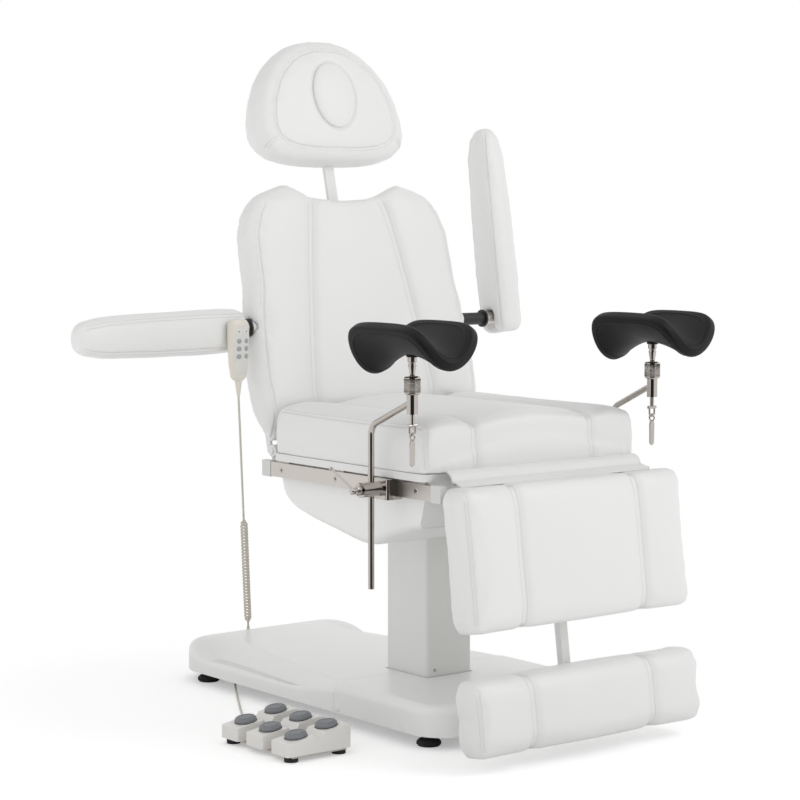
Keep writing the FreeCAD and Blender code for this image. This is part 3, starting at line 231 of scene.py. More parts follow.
# %% [markdown]
# ## Lamps
# A large key panel stands high at the front right and a weaker one fills from the left. Both are
# big, so the shadows on the upholstery are as soft as in the photograph.

# %% Lamps
AIM = at(CHAIR, 0, -60, 620)
PANELS = (("key_panel", (1300, -2600, 2700), 1.8, 25), ("fill_panel", (-2700, -900, 1900), 2.0, 7))
for name, spot, size, watts in PANELS:
    lamp = bpy.data.objects.new(name, bpy.data.lights.new(name, "AREA"))
    lamp.data.size, lamp.data.energy = size, watts
    lamp.location = at(CHAIR, *spot)
    lamp.rotation_euler = (AIM - lamp.location).to_track_quat("-Z", "Y").to_euler()
    scene.collection.objects.link(lamp)
print(len(PANELS), "lamps")

# %% [markdown]
# Polished rods look like steel because they mirror something dark between their bright edges. A
# dark flag behind the camera is a studio's usual answer, and it runs forward along the floor for
# the low rods, which mirror the floor. Here only mirror rays see it, so it takes no light away:
# the dark cores of the rods are a painted reflection of a sheet that nothing else sees.

# %% Dark flag
FLAG_FAR, FLAG_NEAR, FLAG_HALF, FLAG_TOP, FLAG_LIFT = 5.8, 1.4, 4.2, 4.0, 0.003
# Its dark colour is a painted reflection: only mirror rays ever see this sheet.
reflection_sheet = bpy.data.materials.new("black_painted_reflection")
reflection_sheet.use_nodes = True
reflection_sheet.node_tree.nodes["Principled BSDF"].inputs["Base Color"].default_value = rgb("2A2826")
reflection_sheet.node_tree.nodes["Principled BSDF"].inputs["Roughness"].default_value = 1.0
toward = (camera.location - AIM).xy.normalized()
beside = Vector((-toward.y, toward.x))
corners = []
for far, high in ((FLAG_FAR, FLAG_TOP), (FLAG_FAR, FLAG_LIFT), (FLAG_NEAR, FLAG_LIFT)):
    for sign in (-1, 1):
        corners.append((*(AIM.xy + toward * far + beside * (sign * FLAG_HALF * far / FLAG_FAR)), high))
flag = stage_sheet("dark_flag", corners, [(0, 2, 3, 1), (2, 4, 5, 3)], reflection_sheet)
for kind in ("camera", "diffuse", "transmission", "shadow"):
    setattr(flag, "visible_" + kind, False)
print("flag", 2 * FLAG_HALF, "m wide")

# %% [markdown]
# ## Finishes
# Each finish carries a broad, faint mottle in colour and roughness, and a fine grain as bump, sized
# in real millimetres. Leather has a pebble of closed cells, paint an orange peel, brushed steel a
# grain stretched along the rail. The knee pads' vinyl mirrors less than the rest.

# %% Materials
MOTTLE_SCALE, ROUGHNESS_SPREAD, BUMP, COAT_ROUGHNESS = 14.0, 0.12, 0.5, 0.12


def surface(name, code, roughness, grain_mm, depth_mm, mottle, metal=0.0, cells=False,
            stretch=(1, 1, 1), coat=0.0, specular=0.5):
    """A principled finish with mottled colour and roughness and a bumped grain."""
    made = bpy.data.materials.new(name)
    made.use_nodes = True
    tree = made.node_tree
    shader = tree.nodes["Principled BSDF"]
    spot = add(tree, "ShaderNodeTexCoord").outputs["Object"]
    spread = add(tree, "ShaderNodeMapping", {"Vector": spot, "Scale": stretch})
    broad = add(tree, "ShaderNodeTexNoise", {"Vector": spot, "Scale": MOTTLE_SCALE, "Detail": 3.0})
    grain = {"Vector": spread.outputs[0], "Scale": 1000 / grain_mm}
    if cells:
        fine = add(tree, "ShaderNodeTexVoronoi", grain | {"Smoothness": 0.4}, feature="SMOOTH_F1")
        relief = fine.outputs["Distance"]
    else:
        relief = add(tree, "ShaderNodeTexNoise", grain | {"Detail": 2.0}).outputs[0]
    base = rgb(code)
    dark = [channel * (1 - mottle) for channel in base[:3]] + [1.0]
    tone = add(tree, "ShaderNodeMix", {"Factor": broad.outputs[0], "A": dark, "B": base},
               data_type="RGBA")
    rough = add(tree, "ShaderNodeMapRange", {
        "Value": broad.outputs[0], "To Min": roughness * (1 - ROUGHNESS_SPREAD),
        "To Max": min(1.0, roughness * (1 + ROUGHNESS_SPREAD))})
    bump = add(tree, "ShaderNodeBump", {"Height": relief, "Strength": BUMP, "Distance": depth_mm / 1000})
    for key, value in (("Base Color", tone.outputs["Result"]), ("Roughness", rough.outputs["Result"]),
                       ("Normal", bump.outputs[0])):
        tree.links.new(value, shader.inputs[key])
    for key, value in (("Metallic", metal), ("Coat Weight", coat), ("Coat Roughness", COAT_ROUGHNESS),
                       ("Specular IOR Level", specular)):
        shader.inputs[key].default_value = value
    return made


FINISHES = (  # key, material, colour, roughness, grain and its depth in mm, mottle, the rest
    ("upholstery", "white_polyurethane_leather", "ECECEB", 0.46, 1.7, 0.10, 0.025, {"cells": True}),
    ("black_pad", "black_polyurethane_leather", "0D0D11", 0.52, 1.6, 0.10, 0.12,
     {"cells": True, "specular": 0.25}),
    ("moulding", "glossy_white_abs", "F6F6F5", 0.34, 6, 0.03, 0.02, {"coat": 0.08}),
    ("painted_steel", "white_powder_coat", "E8E8E6", 0.42, 1.2, 0.05, 0.02, {}),
    ("steel", "brushed_stainless_steel", "CFC9C3", 0.34, 0.5, 0.03, 0.10,
     {"metal": 1.0, "stretch": (1, 0.02, 1)}),
    ("bright_steel", "polished_stainless_steel", "BEB8B2", 0.09, 3, 0.01, 0.06, {"metal": 1.0}),
    ("grey_plastic", "light_grey_plastic", "DBDBD9", 0.45, 0.8, 0.03, 0.05, {}),
    ("pedal_plastic", "warm_white_plastic", "EFEDE9", 0.36, 0.9, 0.03, 0.03, {}),
    ("handset_plastic", "cream_plastic", "E2DDD2", 0.42, 0.7, 0.03, 0.03, {}),
    ("black_plastic", "black_ribbed_plastic", "1E1E20", 0.45, 0.8, 0.04, 0.15, {}),
    ("rubber", "black_rubber", "232324", 0.70, 1.0, 0.06, 0.2, {}),
    ("cord", "cream_cord_sheath", "D6D0C4", 0.52, 0.9, 0.04, 0.06, {}),
    ("board", "white_coated_plywood", "E9E9E8", 0.42, 2.0, 0.04, 0.02, {}),
    ("thread", "white_polyester_thread", "DEDEDC", 0.6, 0.4, 0.05, 0.08, {}),
    ("black_thread", "black_polyester_thread", "2C2C2E", 0.6, 0.4, 0.05, 0.1, {}),
    ("button", "grey_soft_rubber", "85878C", 0.55, 0.9, 0.05, 0.08, {}),
    ("foil", "grey_keypad_foil", "DAD9D5", 0.48, 0.5, 0.02, 0.03, {}),
    ("key", "grey_silicone_key", "A2A6A9", 0.5, 0.5, 0.02, 0.05, {}),
    ("lamp", "green_lamp_lens", "4E8A5A", 0.2, 0.5, 0.01, 0.05, {}),
)
FINISH = {key: surface(*row, **rest) for key, *row, rest in FINISHES}
print(len(FINISH), "finishes")

# %% [markdown]
# ## Finishes on the hard pieces
# The hard CAD pieces keep their shape. Each takes the finish of its own material slot, which the
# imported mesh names. The bars of the head and foot rests are painted white, and the foot buttons are
# soft rubber.

# %% Dress the CAD nodes
OTHER = {"head_bar": "painted_steel", "foot_bar": "painted_steel"}
OTHER |= {label: "button" for label in NODES if label.startswith("pedal_button")}
for label, piece in NODES.items():
    for slot in piece.material_slots:
        slot.material = FINISH[OTHER.get(label, slot.material.name.split(".")[0])]


def dress(piece, body, finish, *nodes, material=None):
    """Makes an object a piece: it rides on a body, takes a slot's finish and stands for CAD nodes."""
    piece.data.materials.clear()
    piece.data.materials.append(FINISH[material or finish])
    piece.data.shade_smooth()
    if body:
        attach(piece, body)
    if nodes:
        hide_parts(*nodes)
    return piece


def linked(name, data):
    """A new object in the scene."""
    made = bpy.data.objects.new(name, data)
    scene.collection.objects.link(made)
    return made


def new_piece(name, mesh, body, finish, *nodes, material=None):
    return dress(linked(name, mesh), body, finish, *nodes, material=material)


print("dressed", len(NODES), "nodes")

# %% [markdown]
# ## Mesh tools
# The pieces below are built in three ways: rings of points joined into a closed form, grids of
# points joined into a sheet, and modifiers whose result is kept.

# %% Mesh tools
def ease(t):
    """A smooth step from 0 to 1."""
    t = np.clip(t, 0, 1)
    return t * t * (3 - 2 * t)


def circle(sides):
    """Cosines and sines of even angles."""
    angles = [2 * math.pi * k / sides for k in range(sides)]
    return [(math.cos(angle), math.sin(angle)) for angle in angles]


def closed_rings(name, rings):
    """A closed mesh through rings of points, which run anticlockwise as seen from the last."""
    sides = len(rings[0])
    verts = [spot for ring in rings for spot in ring]
    faces = []
    for first in range(0, len(verts) - sides, sides):
        for k in range(sides):
            a, b = first + k, first + (k + 1) % sides
            faces.append((a, b, b + sides, a + sides))
    faces += [tuple(reversed(range(sides))), tuple(range(len(verts) - sides, len(verts)))]
    mesh = bpy.data.meshes.new(name)
    mesh.from_pydata(verts, [], faces)
    return mesh


def turned(name, profile, place, sides=32):
    """A closed solid turned about the local Z axis from (radius, height) pairs in millimetres."""
    rings = [[at(place, r * c, r * s, z) for c, s in circle(sides)] for r, z in profile]
    return closed_rings(name, rings)


def grid_faces(rows, lines, left_out=None):
    """Quads over a grid of points numbered row by row."""
    corners = [i * lines + k for i in range(rows - 1) for k in range(lines - 1)
               if not (left_out and left_out(i, k))]
    return [(a, a + 1, a + lines + 1, a + lines) for a in corners]


def grid_rim(rows, lines):
    """Points round such a grid: its first column, last row, last column and first row."""
    rim = [i * lines for i in range(rows)] + [(rows - 1) * lines + k for k in range(1, lines)]
    rim += [i * lines + lines - 1 for i in range(rows - 2, -1, -1)]
    return rim + list(range(lines - 2, 0, -1))


def slab_faces(rows, lines, start=0):
    """Faces of two layers of such a grid, joined round the rim."""
    size = rows * lines
    sheet, rim = grid_faces(rows, lines), grid_rim(rows, lines)
    faces = sheet + [tuple(k + size for k in face) for face in sheet]
    faces += [(a, b, b + size, a + size) for a, b in zip(rim, rim[1:] + rim[:1])]
    return [tuple(k + start for k in face) for face in faces]


@contextmanager
def edited(mesh):
    """A mesh opened for bmesh operations and written back."""
    form = bmesh.new()
    form.from_mesh(mesh)
    yield form
    form.to_mesh(mesh)
    form.free()


def mended(name, verts, faces, middle=None):
    """A mesh without loose points, facing outward; an open one faces away from its middle."""
    mesh = bpy.data.meshes.new(name)
    mesh.from_pydata(verts, [], faces)
    with edited(mesh) as form:
        loose = [vert for vert in form.verts if not vert.link_faces]
        bmesh.ops.delete(form, geom=loose, context="VERTS")
        bmesh.ops.recalc_face_normals(form, faces=form.faces)
        if middle and sum((f.calc_center_median() - middle).dot(f.normal) for f in form.faces) < 0:
            bmesh.ops.reverse_faces(form, faces=form.faces)
    return mesh


def evaluated(piece):
    """The piece's mesh with its modifiers applied."""
    bpy.context.view_layer.update()
    return bpy.data.meshes.new_from_object(piece.evaluated_get(bpy.context.evaluated_depsgraph_get()))


def settle(piece):
    """Applies a piece's modifiers to its own mesh."""
    old = piece.data
    fresh = evaluated(piece)
    piece.modifiers.clear()
    piece.data = fresh
    bpy.data.meshes.remove(old)


def thicken(piece, wall_mm, crease):
    """Gives an open shell its wall, inwards, and keeps creases above an angle sharp."""
    wall = piece.modifiers.new("wall", "SOLIDIFY")
    wall.thickness, wall.offset = wall_mm / 1000, -1.0
    settle(piece)
    piece.data.set_sharp_from_angle(angle=math.radians(crease))


# %% [markdown]
# ## Cords
# The foot control's cord drops out of the base, crosses the floor and enters the control's rear
# unit. The handset's lead hangs straight and then runs as a curl down to its plug behind the base.
# Each follows a smooth spline through the route's own points; the tubes are swept along points read
# from that spline.

# %% Cord routes
WIRE, SPLINE_ORDER, SPLINE_STEPS = 0.0024, 3, 12
PEDAL_ROUTE = ((-205, 440, 26), (-205, 440, 3.2), (-398, 118, 2.9), (-424, 76, 4.5), (-433, 56, 14),
               (-434, 44, 20), (-434, 28, 20))


def spline_points(name, route):
    """Points along a smooth open spline with the route as its control points."""
    data = bpy.data.curves.new(name, "CURVE")
    data.dimensions = "3D"
    line = data.splines.new("NURBS")
    line.points.add(len(route) - 1)
    for point, spot in zip(line.points, route):
        point.co = (*spot, 1)
    line.order_u, line.use_endpoint_u, line.resolution_u = SPLINE_ORDER, True, SPLINE_STEPS
    guide = linked(name, data)
    points = [vertex.co.copy() for vertex in evaluated(guide).vertices]
    bpy.data.objects.remove(guide)
    return points


def tube(name, path, radius, sides=12):
    """A closed round tube swept along a path, its rings kept from twisting."""
    rings = []
    forward = (path[1] - path[0]).normalized()
    across = forward.orthogonal().normalized()
    for i, spot in enumerate(path):
        ahead = (path[min(i + 1, len(path) - 1)] - path[max(i - 1, 0)]).normalized()
        across = (forward.rotation_difference(ahead) @ across).normalized()
        forward = ahead
        other = forward.cross(across)
        rings.append([spot + (across * c + other * s) * radius for c, s in circle(sides)])
    return closed_rings(name, rings)


def run(points):
    """Length of a line of points."""
    return sum((b - a).length for a, b in zip(points, points[1:]))


pedal_path = spline_points("pedal_route", [at(CHAIR, *spot) for spot in PEDAL_ROUTE])
pedal_cord = new_piece("pedal_lead", tube("pedal_lead", pedal_path, WIRE), "base", "cord", "pedal_cord")
pedal_path[0]
run(pedal_path)
print("pedal lead", round(run(pedal_path), 3), "m")

# %% [markdown]
# The lead's plug stands in the socket behind the base: a grip along the socket, an elbow and a
# tapered neck.

# %% Plug
SOCKET, ELBOW = (-20, 628.5, 53), (-20, 655, 90)
GRIP = ((5.8, 0), (5.8, 10.5), (8.5, 10.5), (8.5, 31), (7, 34.5), (3, 35.5))
NECK_RIBS, NECK_STEP, NECK_TAPER = 8, 3.6, 0.32
grip_place = CHAIR @ Matrix.Translation(SOCKET) @ Matrix.Rotation(-math.pi / 2, 4, "X")
neck_place = CHAIR @ Matrix.Translation((ELBOW[0], ELBOW[1], SOCKET[2]))
neck = [(7.2, -3), (7.2, 4)]
for k in range(NECK_RIBS):
    neck += [(6.9 - NECK_TAPER * k, 5 + NECK_STEP * k), (5.9 - NECK_TAPER * k, 6.5 + NECK_STEP * k)]
neck.append((3.2, 37))
plug = new_piece("handset_plug", turned("plug_grip", GRIP, grip_place), "base", "cord", "handset_curl")
plug_neck = new_piece("handset_plug_neck", turned("plug_neck", neck, neck_place), "base", "cord")
print("plug made")

# %% [markdown]
# ## The curled lead
# The curl is a helix about the spline, eased in and out so the wire stays smooth. Both lengths hang
# between the handset and the base.

# %% Handset lead
HANDSET_END, CURL_TOP = (-357.0, 194.6, 686.9), 392.0
CURL_RADIUS, CURL_PITCH, TURN_STEPS, CURL_SIDES = 0.0064, 0.0115, 24, 10
CURL_LEAD, CURL_EASE, CURL_TAIL = 0.008, 0.012, 0.026
lead_top, lead_end = at(CHAIR, *HANDSET_END), at(CHAIR, *ELBOW)
lead_split = lead_top.lerp(lead_end, (HANDSET_END[2] - CURL_TOP) / (HANDSET_END[2] - ELBOW[2]))
straight_path = spline_points("straight_route", [lead_top, lead_top.lerp(lead_split, 0.5), lead_split])
curl_axis = spline_points("curl_route", [lead_split, lead_split.lerp(lead_end, 0.5), lead_end])
down = (curl_axis[-1] - curl_axis[0]).normalized()
side = down.cross(Vector(UP)).normalized()
other = down.cross(side)
first, last = CURL_LEAD + CURL_EASE, run(curl_axis) - CURL_TAIL
turns = int((last - first) / CURL_PITCH)
pitch = (last - first) / turns
curl_path = [curl_axis[0]]
total = (turns + 1) * TURN_STEPS
for i in range(total + 1):
    along = CURL_LEAD + (last + CURL_EASE - CURL_LEAD) * i / total
    swell = min(along - CURL_LEAD, last + CURL_EASE - along) / (2 * CURL_EASE)
    angle = 2 * math.pi * (along - first) / pitch
    out = side * math.cos(angle) + other * math.sin(angle)
    curl_path.append(curl_axis[0] + down * along + out * (CURL_RADIUS * ease(swell)))
curl_path.append(curl_axis[-1])
lead_mesh = tube("handset_lead", straight_path, WIRE)
lead = new_piece("handset_lead", lead_mesh, None, "cord", "handset_cord")
curl_mesh = tube("handset_curl_lead", curl_path, WIRE, CURL_SIDES)
curl = new_piece("handset_curl_lead", curl_mesh, None, "cord")
run(straight_path)
run(curl_path)
for piece in (lead, curl):
    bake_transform(piece)
print("lead", round(run(straight_path), 3), "m and", turns, "turns")

# %% [markdown]
# ## Upholstery
# A cushion starts as its CAD solid, cut into even 6 mm quads and smoothed. Cloth under inner
# pressure then swells it as foam fills a sewn cover: edges round off, faces crown and the sides
# pull in. The faces that lie on a board are held. All the cushions swell in one run, and no point
# may move further than its cap.

# %% Blanks for the cushions
VOXEL, SMOOTHING, WELD = 0.006, 3, 1e-5
back_rear, leg_rear = (place.to_3x3() @ Vector((0, 1000, 0)) for place in (BACK, LEG))
UPHOLSTERY = (  # CAD node, piece, body, side on a board, cap on the swelling and growth in mm
    ("seat_cushion", "seat_pad", "carriage", Vector((0, 0, -1)), 4.0, 1.0),
    ("back_cushion", "back_pad", "back", back_rear, 4.0, 8.0),
    ("head_cushion", "head_pad", "head", back_rear, 2.0, 0.0),
    ("calf_cushion", "calf_pad", "leg", leg_rear, 3.5, 3.0),
    ("foot_cushion", "foot_pad", "foot", leg_rear, 3.5, 1.0),
    ("arm_cushion_right", "arm_pad_right", "arm_right", None, 2.0, 0.0),
    ("arm_cushion_left", "arm_pad_left", "arm_left", None, 2.0, 0.0),
)


def coordinates(mesh, what="co"):
    """Vertex positions or normals as an array."""
    source = mesh.vertices if what == "co" else mesh.vertex_normals
    flat = np.empty(len(mesh.vertices) * 3)
    source.foreach_get("co" if what == "co" else "vector", flat)
    return flat.reshape(-1, 3)


def move_to(mesh, spots):
    mesh.vertices.foreach_set("co", np.asarray(spots).ravel())
    mesh.update()


def blank(node, name):
    """An even quad copy of a CAD solid."""
    mesh = NODES[node].data.copy()
    with edited(mesh) as form:
        bmesh.ops.remove_doubles(form, verts=form.verts, dist=WELD)
    piece = linked(name, mesh)
    remesh = piece.modifiers.new("even", "REMESH")
    remesh.mode, remesh.voxel_size = "VOXEL", VOXEL
    smooth = piece.modifiers.new("soft", "SMOOTH")
    smooth.factor, smooth.iterations = 0.5, SMOOTHING
    settle(piece)
    return piece


cushions = {}
for node, name, _, rest_side, _, grow in UPHOLSTERY:
    piece = cushions[name] = blank(node, name)
    facing = coordinates(piece.data, "normal")
    free = 1.0 if rest_side is None else np.clip(1 - facing @ np.array(rest_side), 0, 1)[:, None]
    move_to(piece.data, coordinates(piece.data) + facing * free * grow / 1000)
    print(name, len(piece.data.polygons), "quads")

# %% [markdown]
# The pressure run: a cloth modifier per cushion, no gravity, twenty frames.

# %% Swell the cushions
SIM_FRAMES, HELD = 20, 0.8
CLOTH = {"quality": 4, "use_pressure": True, "uniform_pressure_force": 4.0, "tension_stiffness": 12,
         "compression_stiffness": 12, "bending_stiffness": 1.5}
starts = {name: coordinates(piece.data) for name, piece in cushions.items()}
for _, name, _, rest_side, _, _ in UPHOLSTERY:
    piece = cushions[name]
    cloth = piece.modifiers.new("swell", "CLOTH")
    for key, value in CLOTH.items():
        setattr(cloth.settings, key, value)
    cloth.settings.effector_weights.gravity = 0.0
    cloth.collision_settings.use_collision = False
    cloth.point_cache.frame_start, cloth.point_cache.frame_end = 1, SIM_FRAMES
    if rest_side is not None:
        held = piece.vertex_groups.new(name="held")
        facing = coordinates(piece.data, "normal") @ np.array(rest_side)
        held.add([int(i) for i in np.nonzero(facing > HELD)[0]], 1.0, "REPLACE")
        cloth.settings.vertex_group_mass = "held"
for step in range(1, SIM_FRAMES + 1):
    scene.frame_set(step)
swollen = {name: coordinates(evaluated(piece)) for name, piece in cushions.items()}
for _, name, _, _, cap, _ in UPHOLSTERY:
    cushions[name].modifiers.clear()
    shift = swollen[name] - starts[name]
    length = np.linalg.norm(shift, axis=1, keepdims=True)
    limit = cap / 1000
    shift *= limit * np.tanh(length / limit) / np.maximum(length, 1e-9)
    move_to(cushions[name].data, starts[name] + shift)
    print(name, "swells", round(float(length.max()) * 1000, 1), "mm, kept under", cap)
scene.frame_set(1)

# %% [markdown]
# A cover is pulled over the edge of its board and stapled below, so a cushion's sides run square
# down to the board. The points of the lowest band are moved out to stand under the band above it.

# %% Square the rims
RIM, RIM_BAND, RIM_REACH = 0.016, 1.6, 1.3


def search(points):
    """A nearest-point search over points."""
    tree = KDTree(len(points))
    for i, point in enumerate(points):
        tree.insert(point, i)
    tree.balance()
    return tree


def square_rim(mesh, down):
    """Moves a cushion's lowest band out under the band above; down points to what it rests on."""
    down = np.array(down.normalized())
    spots = coordinates(mesh)
    height = (spots @ down).max() - spots @ down
    flat = spots - np.outer(spots @ down, down)
    band = flat[(height > RIM) & (height < RIM_BAND * RIM)]
    tree = search(band)
    for i in np.nonzero(height <= RIM)[0]:
        _, above, gap = tree.find(flat[i])
        if gap < RIM_REACH * RIM:
            spots[i] += band[above] - flat[i]
    move_to(mesh, spots)


for _, name, _, rest_side, _, _ in UPHOLSTERY:
    if rest_side is not None:
        square_rim(cushions[name].data, rest_side)
print("rims squared")

# %% [markdown]
# The back's cover stands out past its shell at the shoulders and a little at its foot, so it is
# drawn wider there. The wells for the arm sleeves are opened again where the swelling narrowed
# them.

# %% Broad shoulders
SHOULDER_LOW, SHOULDER_HIGH, SHOULDER_GAIN = 330.0, 560.0, 0.16
HEEL_HIGH, HEEL_GAIN = 260.0, 0.05
SHOULDER_IN, SHOULDER_BLEND = 150.0, 52.0
ARM_WELL, WELL_RADIUS, WELL_FLOOR = (-16.0, 264.5), 19.0, 172.0


def shoulder(q):
    """How many times as wide as its shell the back pad is at a height."""
    rise = ease((q - SHOULDER_LOW) / (SHOULDER_HIGH - SHOULDER_LOW))
    return 1 + SHOULDER_GAIN * rise + HEEL_GAIN * min(1.0, max(0.0, (HEEL_HIGH - q) / HEEL_HIGH))


into_back = BACK.inverted()
for vertex in cushions["back_pad"].data.vertices:
    x, y, z = into_back @ vertex.co
    wider = (shoulder(z) - 1) * ease((abs(x) - SHOULDER_IN) / SHOULDER_BLEND)
    gap = math.hypot(y - ARM_WELL[0], z - ARM_WELL[1])
    if abs(x) > WELL_FLOOR and 0.01 < gap < WELL_RADIUS:
        y, z = (middle + (v - middle) * WELL_RADIUS / gap for v, middle in zip((y, z), ARM_WELL))
    vertex.co = at(BACK, x * (1 + wider), y, z)
print("shoulders", round(shoulder(SHOULDER_HIGH), 2), "times as wide")

# %% [markdown]
# One subdivision gives the seams enough points. Then every cushion is dressed as a piece.

# %% Subdivide and dress
for node, name, body, *_ in UPHOLSTERY:
    piece = cushions[name]
    finer = piece.modifiers.new("finer", "SUBSURF")
    finer.levels = finer.render_levels = 1
    settle(piece)
    piece.vertex_groups.clear()
    dress(piece, body, "upholstery", node)
print(sum(len(piece.data.polygons) for piece in cushions.values()), "quads in all")

# %% [markdown]
# ## Seams
# Sewn channels part the seat, back and leg cushions into a flat middle and two bolsters, and a
# boxing seam runs round their front edges. A seam is found by casting rays at the swollen surface,
# so it follows any crown. The surface is then drawn in along it, broadly at a channel and narrowly
# at every seam.

# %% Seam tools
FAN_RAYS, RAY_START, LINE_STEP = 120, 0.25, 0.0015


def skin(mesh):
    """A ray target of a mesh as it is now."""
    return BVHTree.FromPolygons([v.co for v in mesh.vertices], [f.vertices for f in mesh.polygons])


def touch(target, rays):
    """Where rays, given as (start, direction), first meet a skin."""
    hits = [target.ray_cast(start, ahead)[0] for start, ahead in rays]
    return [hit for hit in hits if hit is not None]


def even(points, step):
    """Points at even steps along a line."""
    line = np.array(points)
    reach = np.concatenate([[0.0], np.cumsum(np.linalg.norm(np.diff(line, axis=0), axis=1))])
    marks = np.arange(0.0, reach[-1], step)
    return [Vector(spot) for spot in zip(*(np.interp(marks, reach, line[:, k]) for k in range(3)))]


def steps_along(points, step):
    """Points at even steps along a line, each with the line's direction there."""
    marks = even(points, step)
    return [(mark, (after - before).normalized())
            for before, mark, after in zip(marks, marks[1:], marks[2:])]


def fan(place, x, centre, first, last):
    """Rays across a plane of constant x towards a centre (y, z), between two angles from +Y to +Z."""
    rays = []
    for k in range(FAN_RAYS):
        angle = math.radians(first + (last - first) * k / (FAN_RAYS - 1))
        out = (place.to_3x3() @ Vector((0, math.cos(angle), math.sin(angle)))).normalized()
        rays.append((at(place, x, *centre) + out, -out))
    return rays


def onto(place, spots, out):
    """Rays at spots of a place, from the side that out points to."""
    away = (place.to_3x3() @ Vector(out)).normalized()
    return [(at(place, *spot) + away * RAY_START, -away) for spot in spots]


def gaps_to(lines, spots):
    """How far each spot is from the nearest line."""
    tree = search([mark for line in lines for mark in even(line, LINE_STEP)])
    return np.array([tree.find(Vector(spot))[2] for spot in spots])


def press(mesh, lines, depth, width):
    """Draws a surface in along lines, deepest on them and eased out over a width."""
    places = coordinates(mesh)
    pull = depth * np.exp(-(gaps_to(lines, places) / width) ** 2)
    move_to(mesh, places - coordinates(mesh, "normal") * pull[:, None])


def refine(mesh, lines, reach):
    """Halves the faces within reach of lines, so that a narrow seam finds points to move."""
    close = gaps_to(lines, coordinates(mesh)) < reach
    with edited(mesh) as form:
        near = [edge for edge in form.edges if all(close[vert.index] for vert in edge.verts)]
        bmesh.ops.subdivide_edges(form, edges=near, cuts=1, use_grid_fill=True, smooth=0.4)
    mesh.shade_smooth()


# %% [markdown]
# The seams of each cushion, in the axes of the section it belongs to. The back's channels start
# close together at the shoulders and spread towards the seat.

# %% Seam lines
BACK_OUTLINE = ((18, 262), (60, 273), (98, 284), (150, 291), (220, 292), (303, 286), (392, 270),
                (462, 250), (510, 226), (540, 202))
HEAD_OUTLINE = ((626, 84), (631, 128), (642, 168), (662, 194), (690, 204), (722, 203), (765, 194),
                (808, 175), (846, 147), (874, 116), (893, 84), (904, 48))
HEAD_CENTRE, HEAD_PANEL = 765, 0.80
PAD_OVER, GUSSET_IN, FOOT_TURN, FOOT_FLARE = 6, 24, 70, 0.25
SEAM_HALF, SEAM_SPREAD, SEAM_TOP, SEAM_SPAN, SEAM_CURVE = 92, 68, 545, 420, 0.75
FANS = (  # piece, place, half distance, centre of the fan, first and last angle
    ("seat_pad", CHAIR, 156, (-80, 580), 184, 4),
    ("calf_pad", LEG, 160, (-48, -152), 92, 268),
    ("foot_pad", LEG, 158, (-48, -456), 92, 268),
)
CORNERS = (  # piece, place, half width, front, heights
    ("seat_pad", CHAIR, 272, -328, range(572, 650, 3)),
    ("calf_pad", LEG, 276, -90, range(-278, -26, 4)),
    ("foot_pad", LEG, 286, -88, range(-516, -396, 4)),
)
ARM_HALF, ARM_HEIGHTS, ARM_SPAN = 26, (26, -32), range(-24, 428, 6)
FRONT = (0, -1, 0)


def gusset(q):
    """Half width of the back's edge seam at a height."""
    half = float(np.interp(q, *zip(*BACK_OUTLINE))) * shoulder(q) + PAD_OVER
    return half - GUSSET_IN + FOOT_FLARE * max(0, FOOT_TURN - q)


def back_seam(q):
    """Half distance between the back's channels."""
    return SEAM_HALF + SEAM_SPREAD * min(1.0, (max(0.0, SEAM_TOP - q) / SEAM_SPAN) ** SEAM_CURVE)


channels, edges = defaultdict(list), defaultdict(list)
head_loop = [(HEAD_PANEL * half, -40, HEAD_CENTRE + HEAD_PANEL * (q - HEAD_CENTRE))
             for q, half in HEAD_OUTLINE]
head_loop += [(-x, y, q) for x, y, q in reversed(head_loop)]
edges["head_pad"].append(onto(BACK, head_loop + head_loop[:2], FRONT))
for side in (-1, 1):
    for name, place, half, centre, first, last in FANS:
        channels[name].append(fan(place, side * half, centre, first, last))
    for name, place, half, y, heights in CORNERS:
        corner = [(side * half, y, z) for z in heights]
        edges[name].append(onto(place, corner, (side, -1, 0)))
    rise = [(side * back_seam(q), -40, q) for q in range(22, 541, 4)]
    channels["back_pad"].append(onto(BACK, rise, (0, -1, 0.12)))
    top_edge = [(side * 268, y, 645) for y in range(-318, 160, 6)]
    edges["seat_pad"].append(onto(CHAIR, top_edge, (side, 0, 1)))
    for heights in (range(FOOT_TURN, 532, 5), range(FOOT_TURN, 22, -4)):
        edges["back_pad"].append(onto(BACK, [(side * gusset(q), -30, q) for q in heights], FRONT))
    corner = [(side * (158 + 3.2 * k), -30, 682 - 2.6 * k) for k in range(12)]
    edges["head_pad"].append(onto(BACK, corner, (side * 0.8, -1, -0.4)))
for name, place, inner in (("arm_pad_right", RIGHT_ARM, 1), ("arm_pad_left", LEFT_ARM, -1)):
    for face in (-inner, inner):
        for z in ARM_HEIGHTS:
            edge = [(face * ARM_HALF, -b, z) for b in ARM_SPAN]
            edges[name].append(onto(place, edge, (face, 0, math.copysign(0.9, z))))
print(sum(map(len, channels.values())), "channels,", sum(map(len, edges.values())), "edge seams")

# %% [markdown]
# Leather is never quite smooth: a slow ripple under a millimetre high breaks up the highlights.
# Then the seams are pressed in.

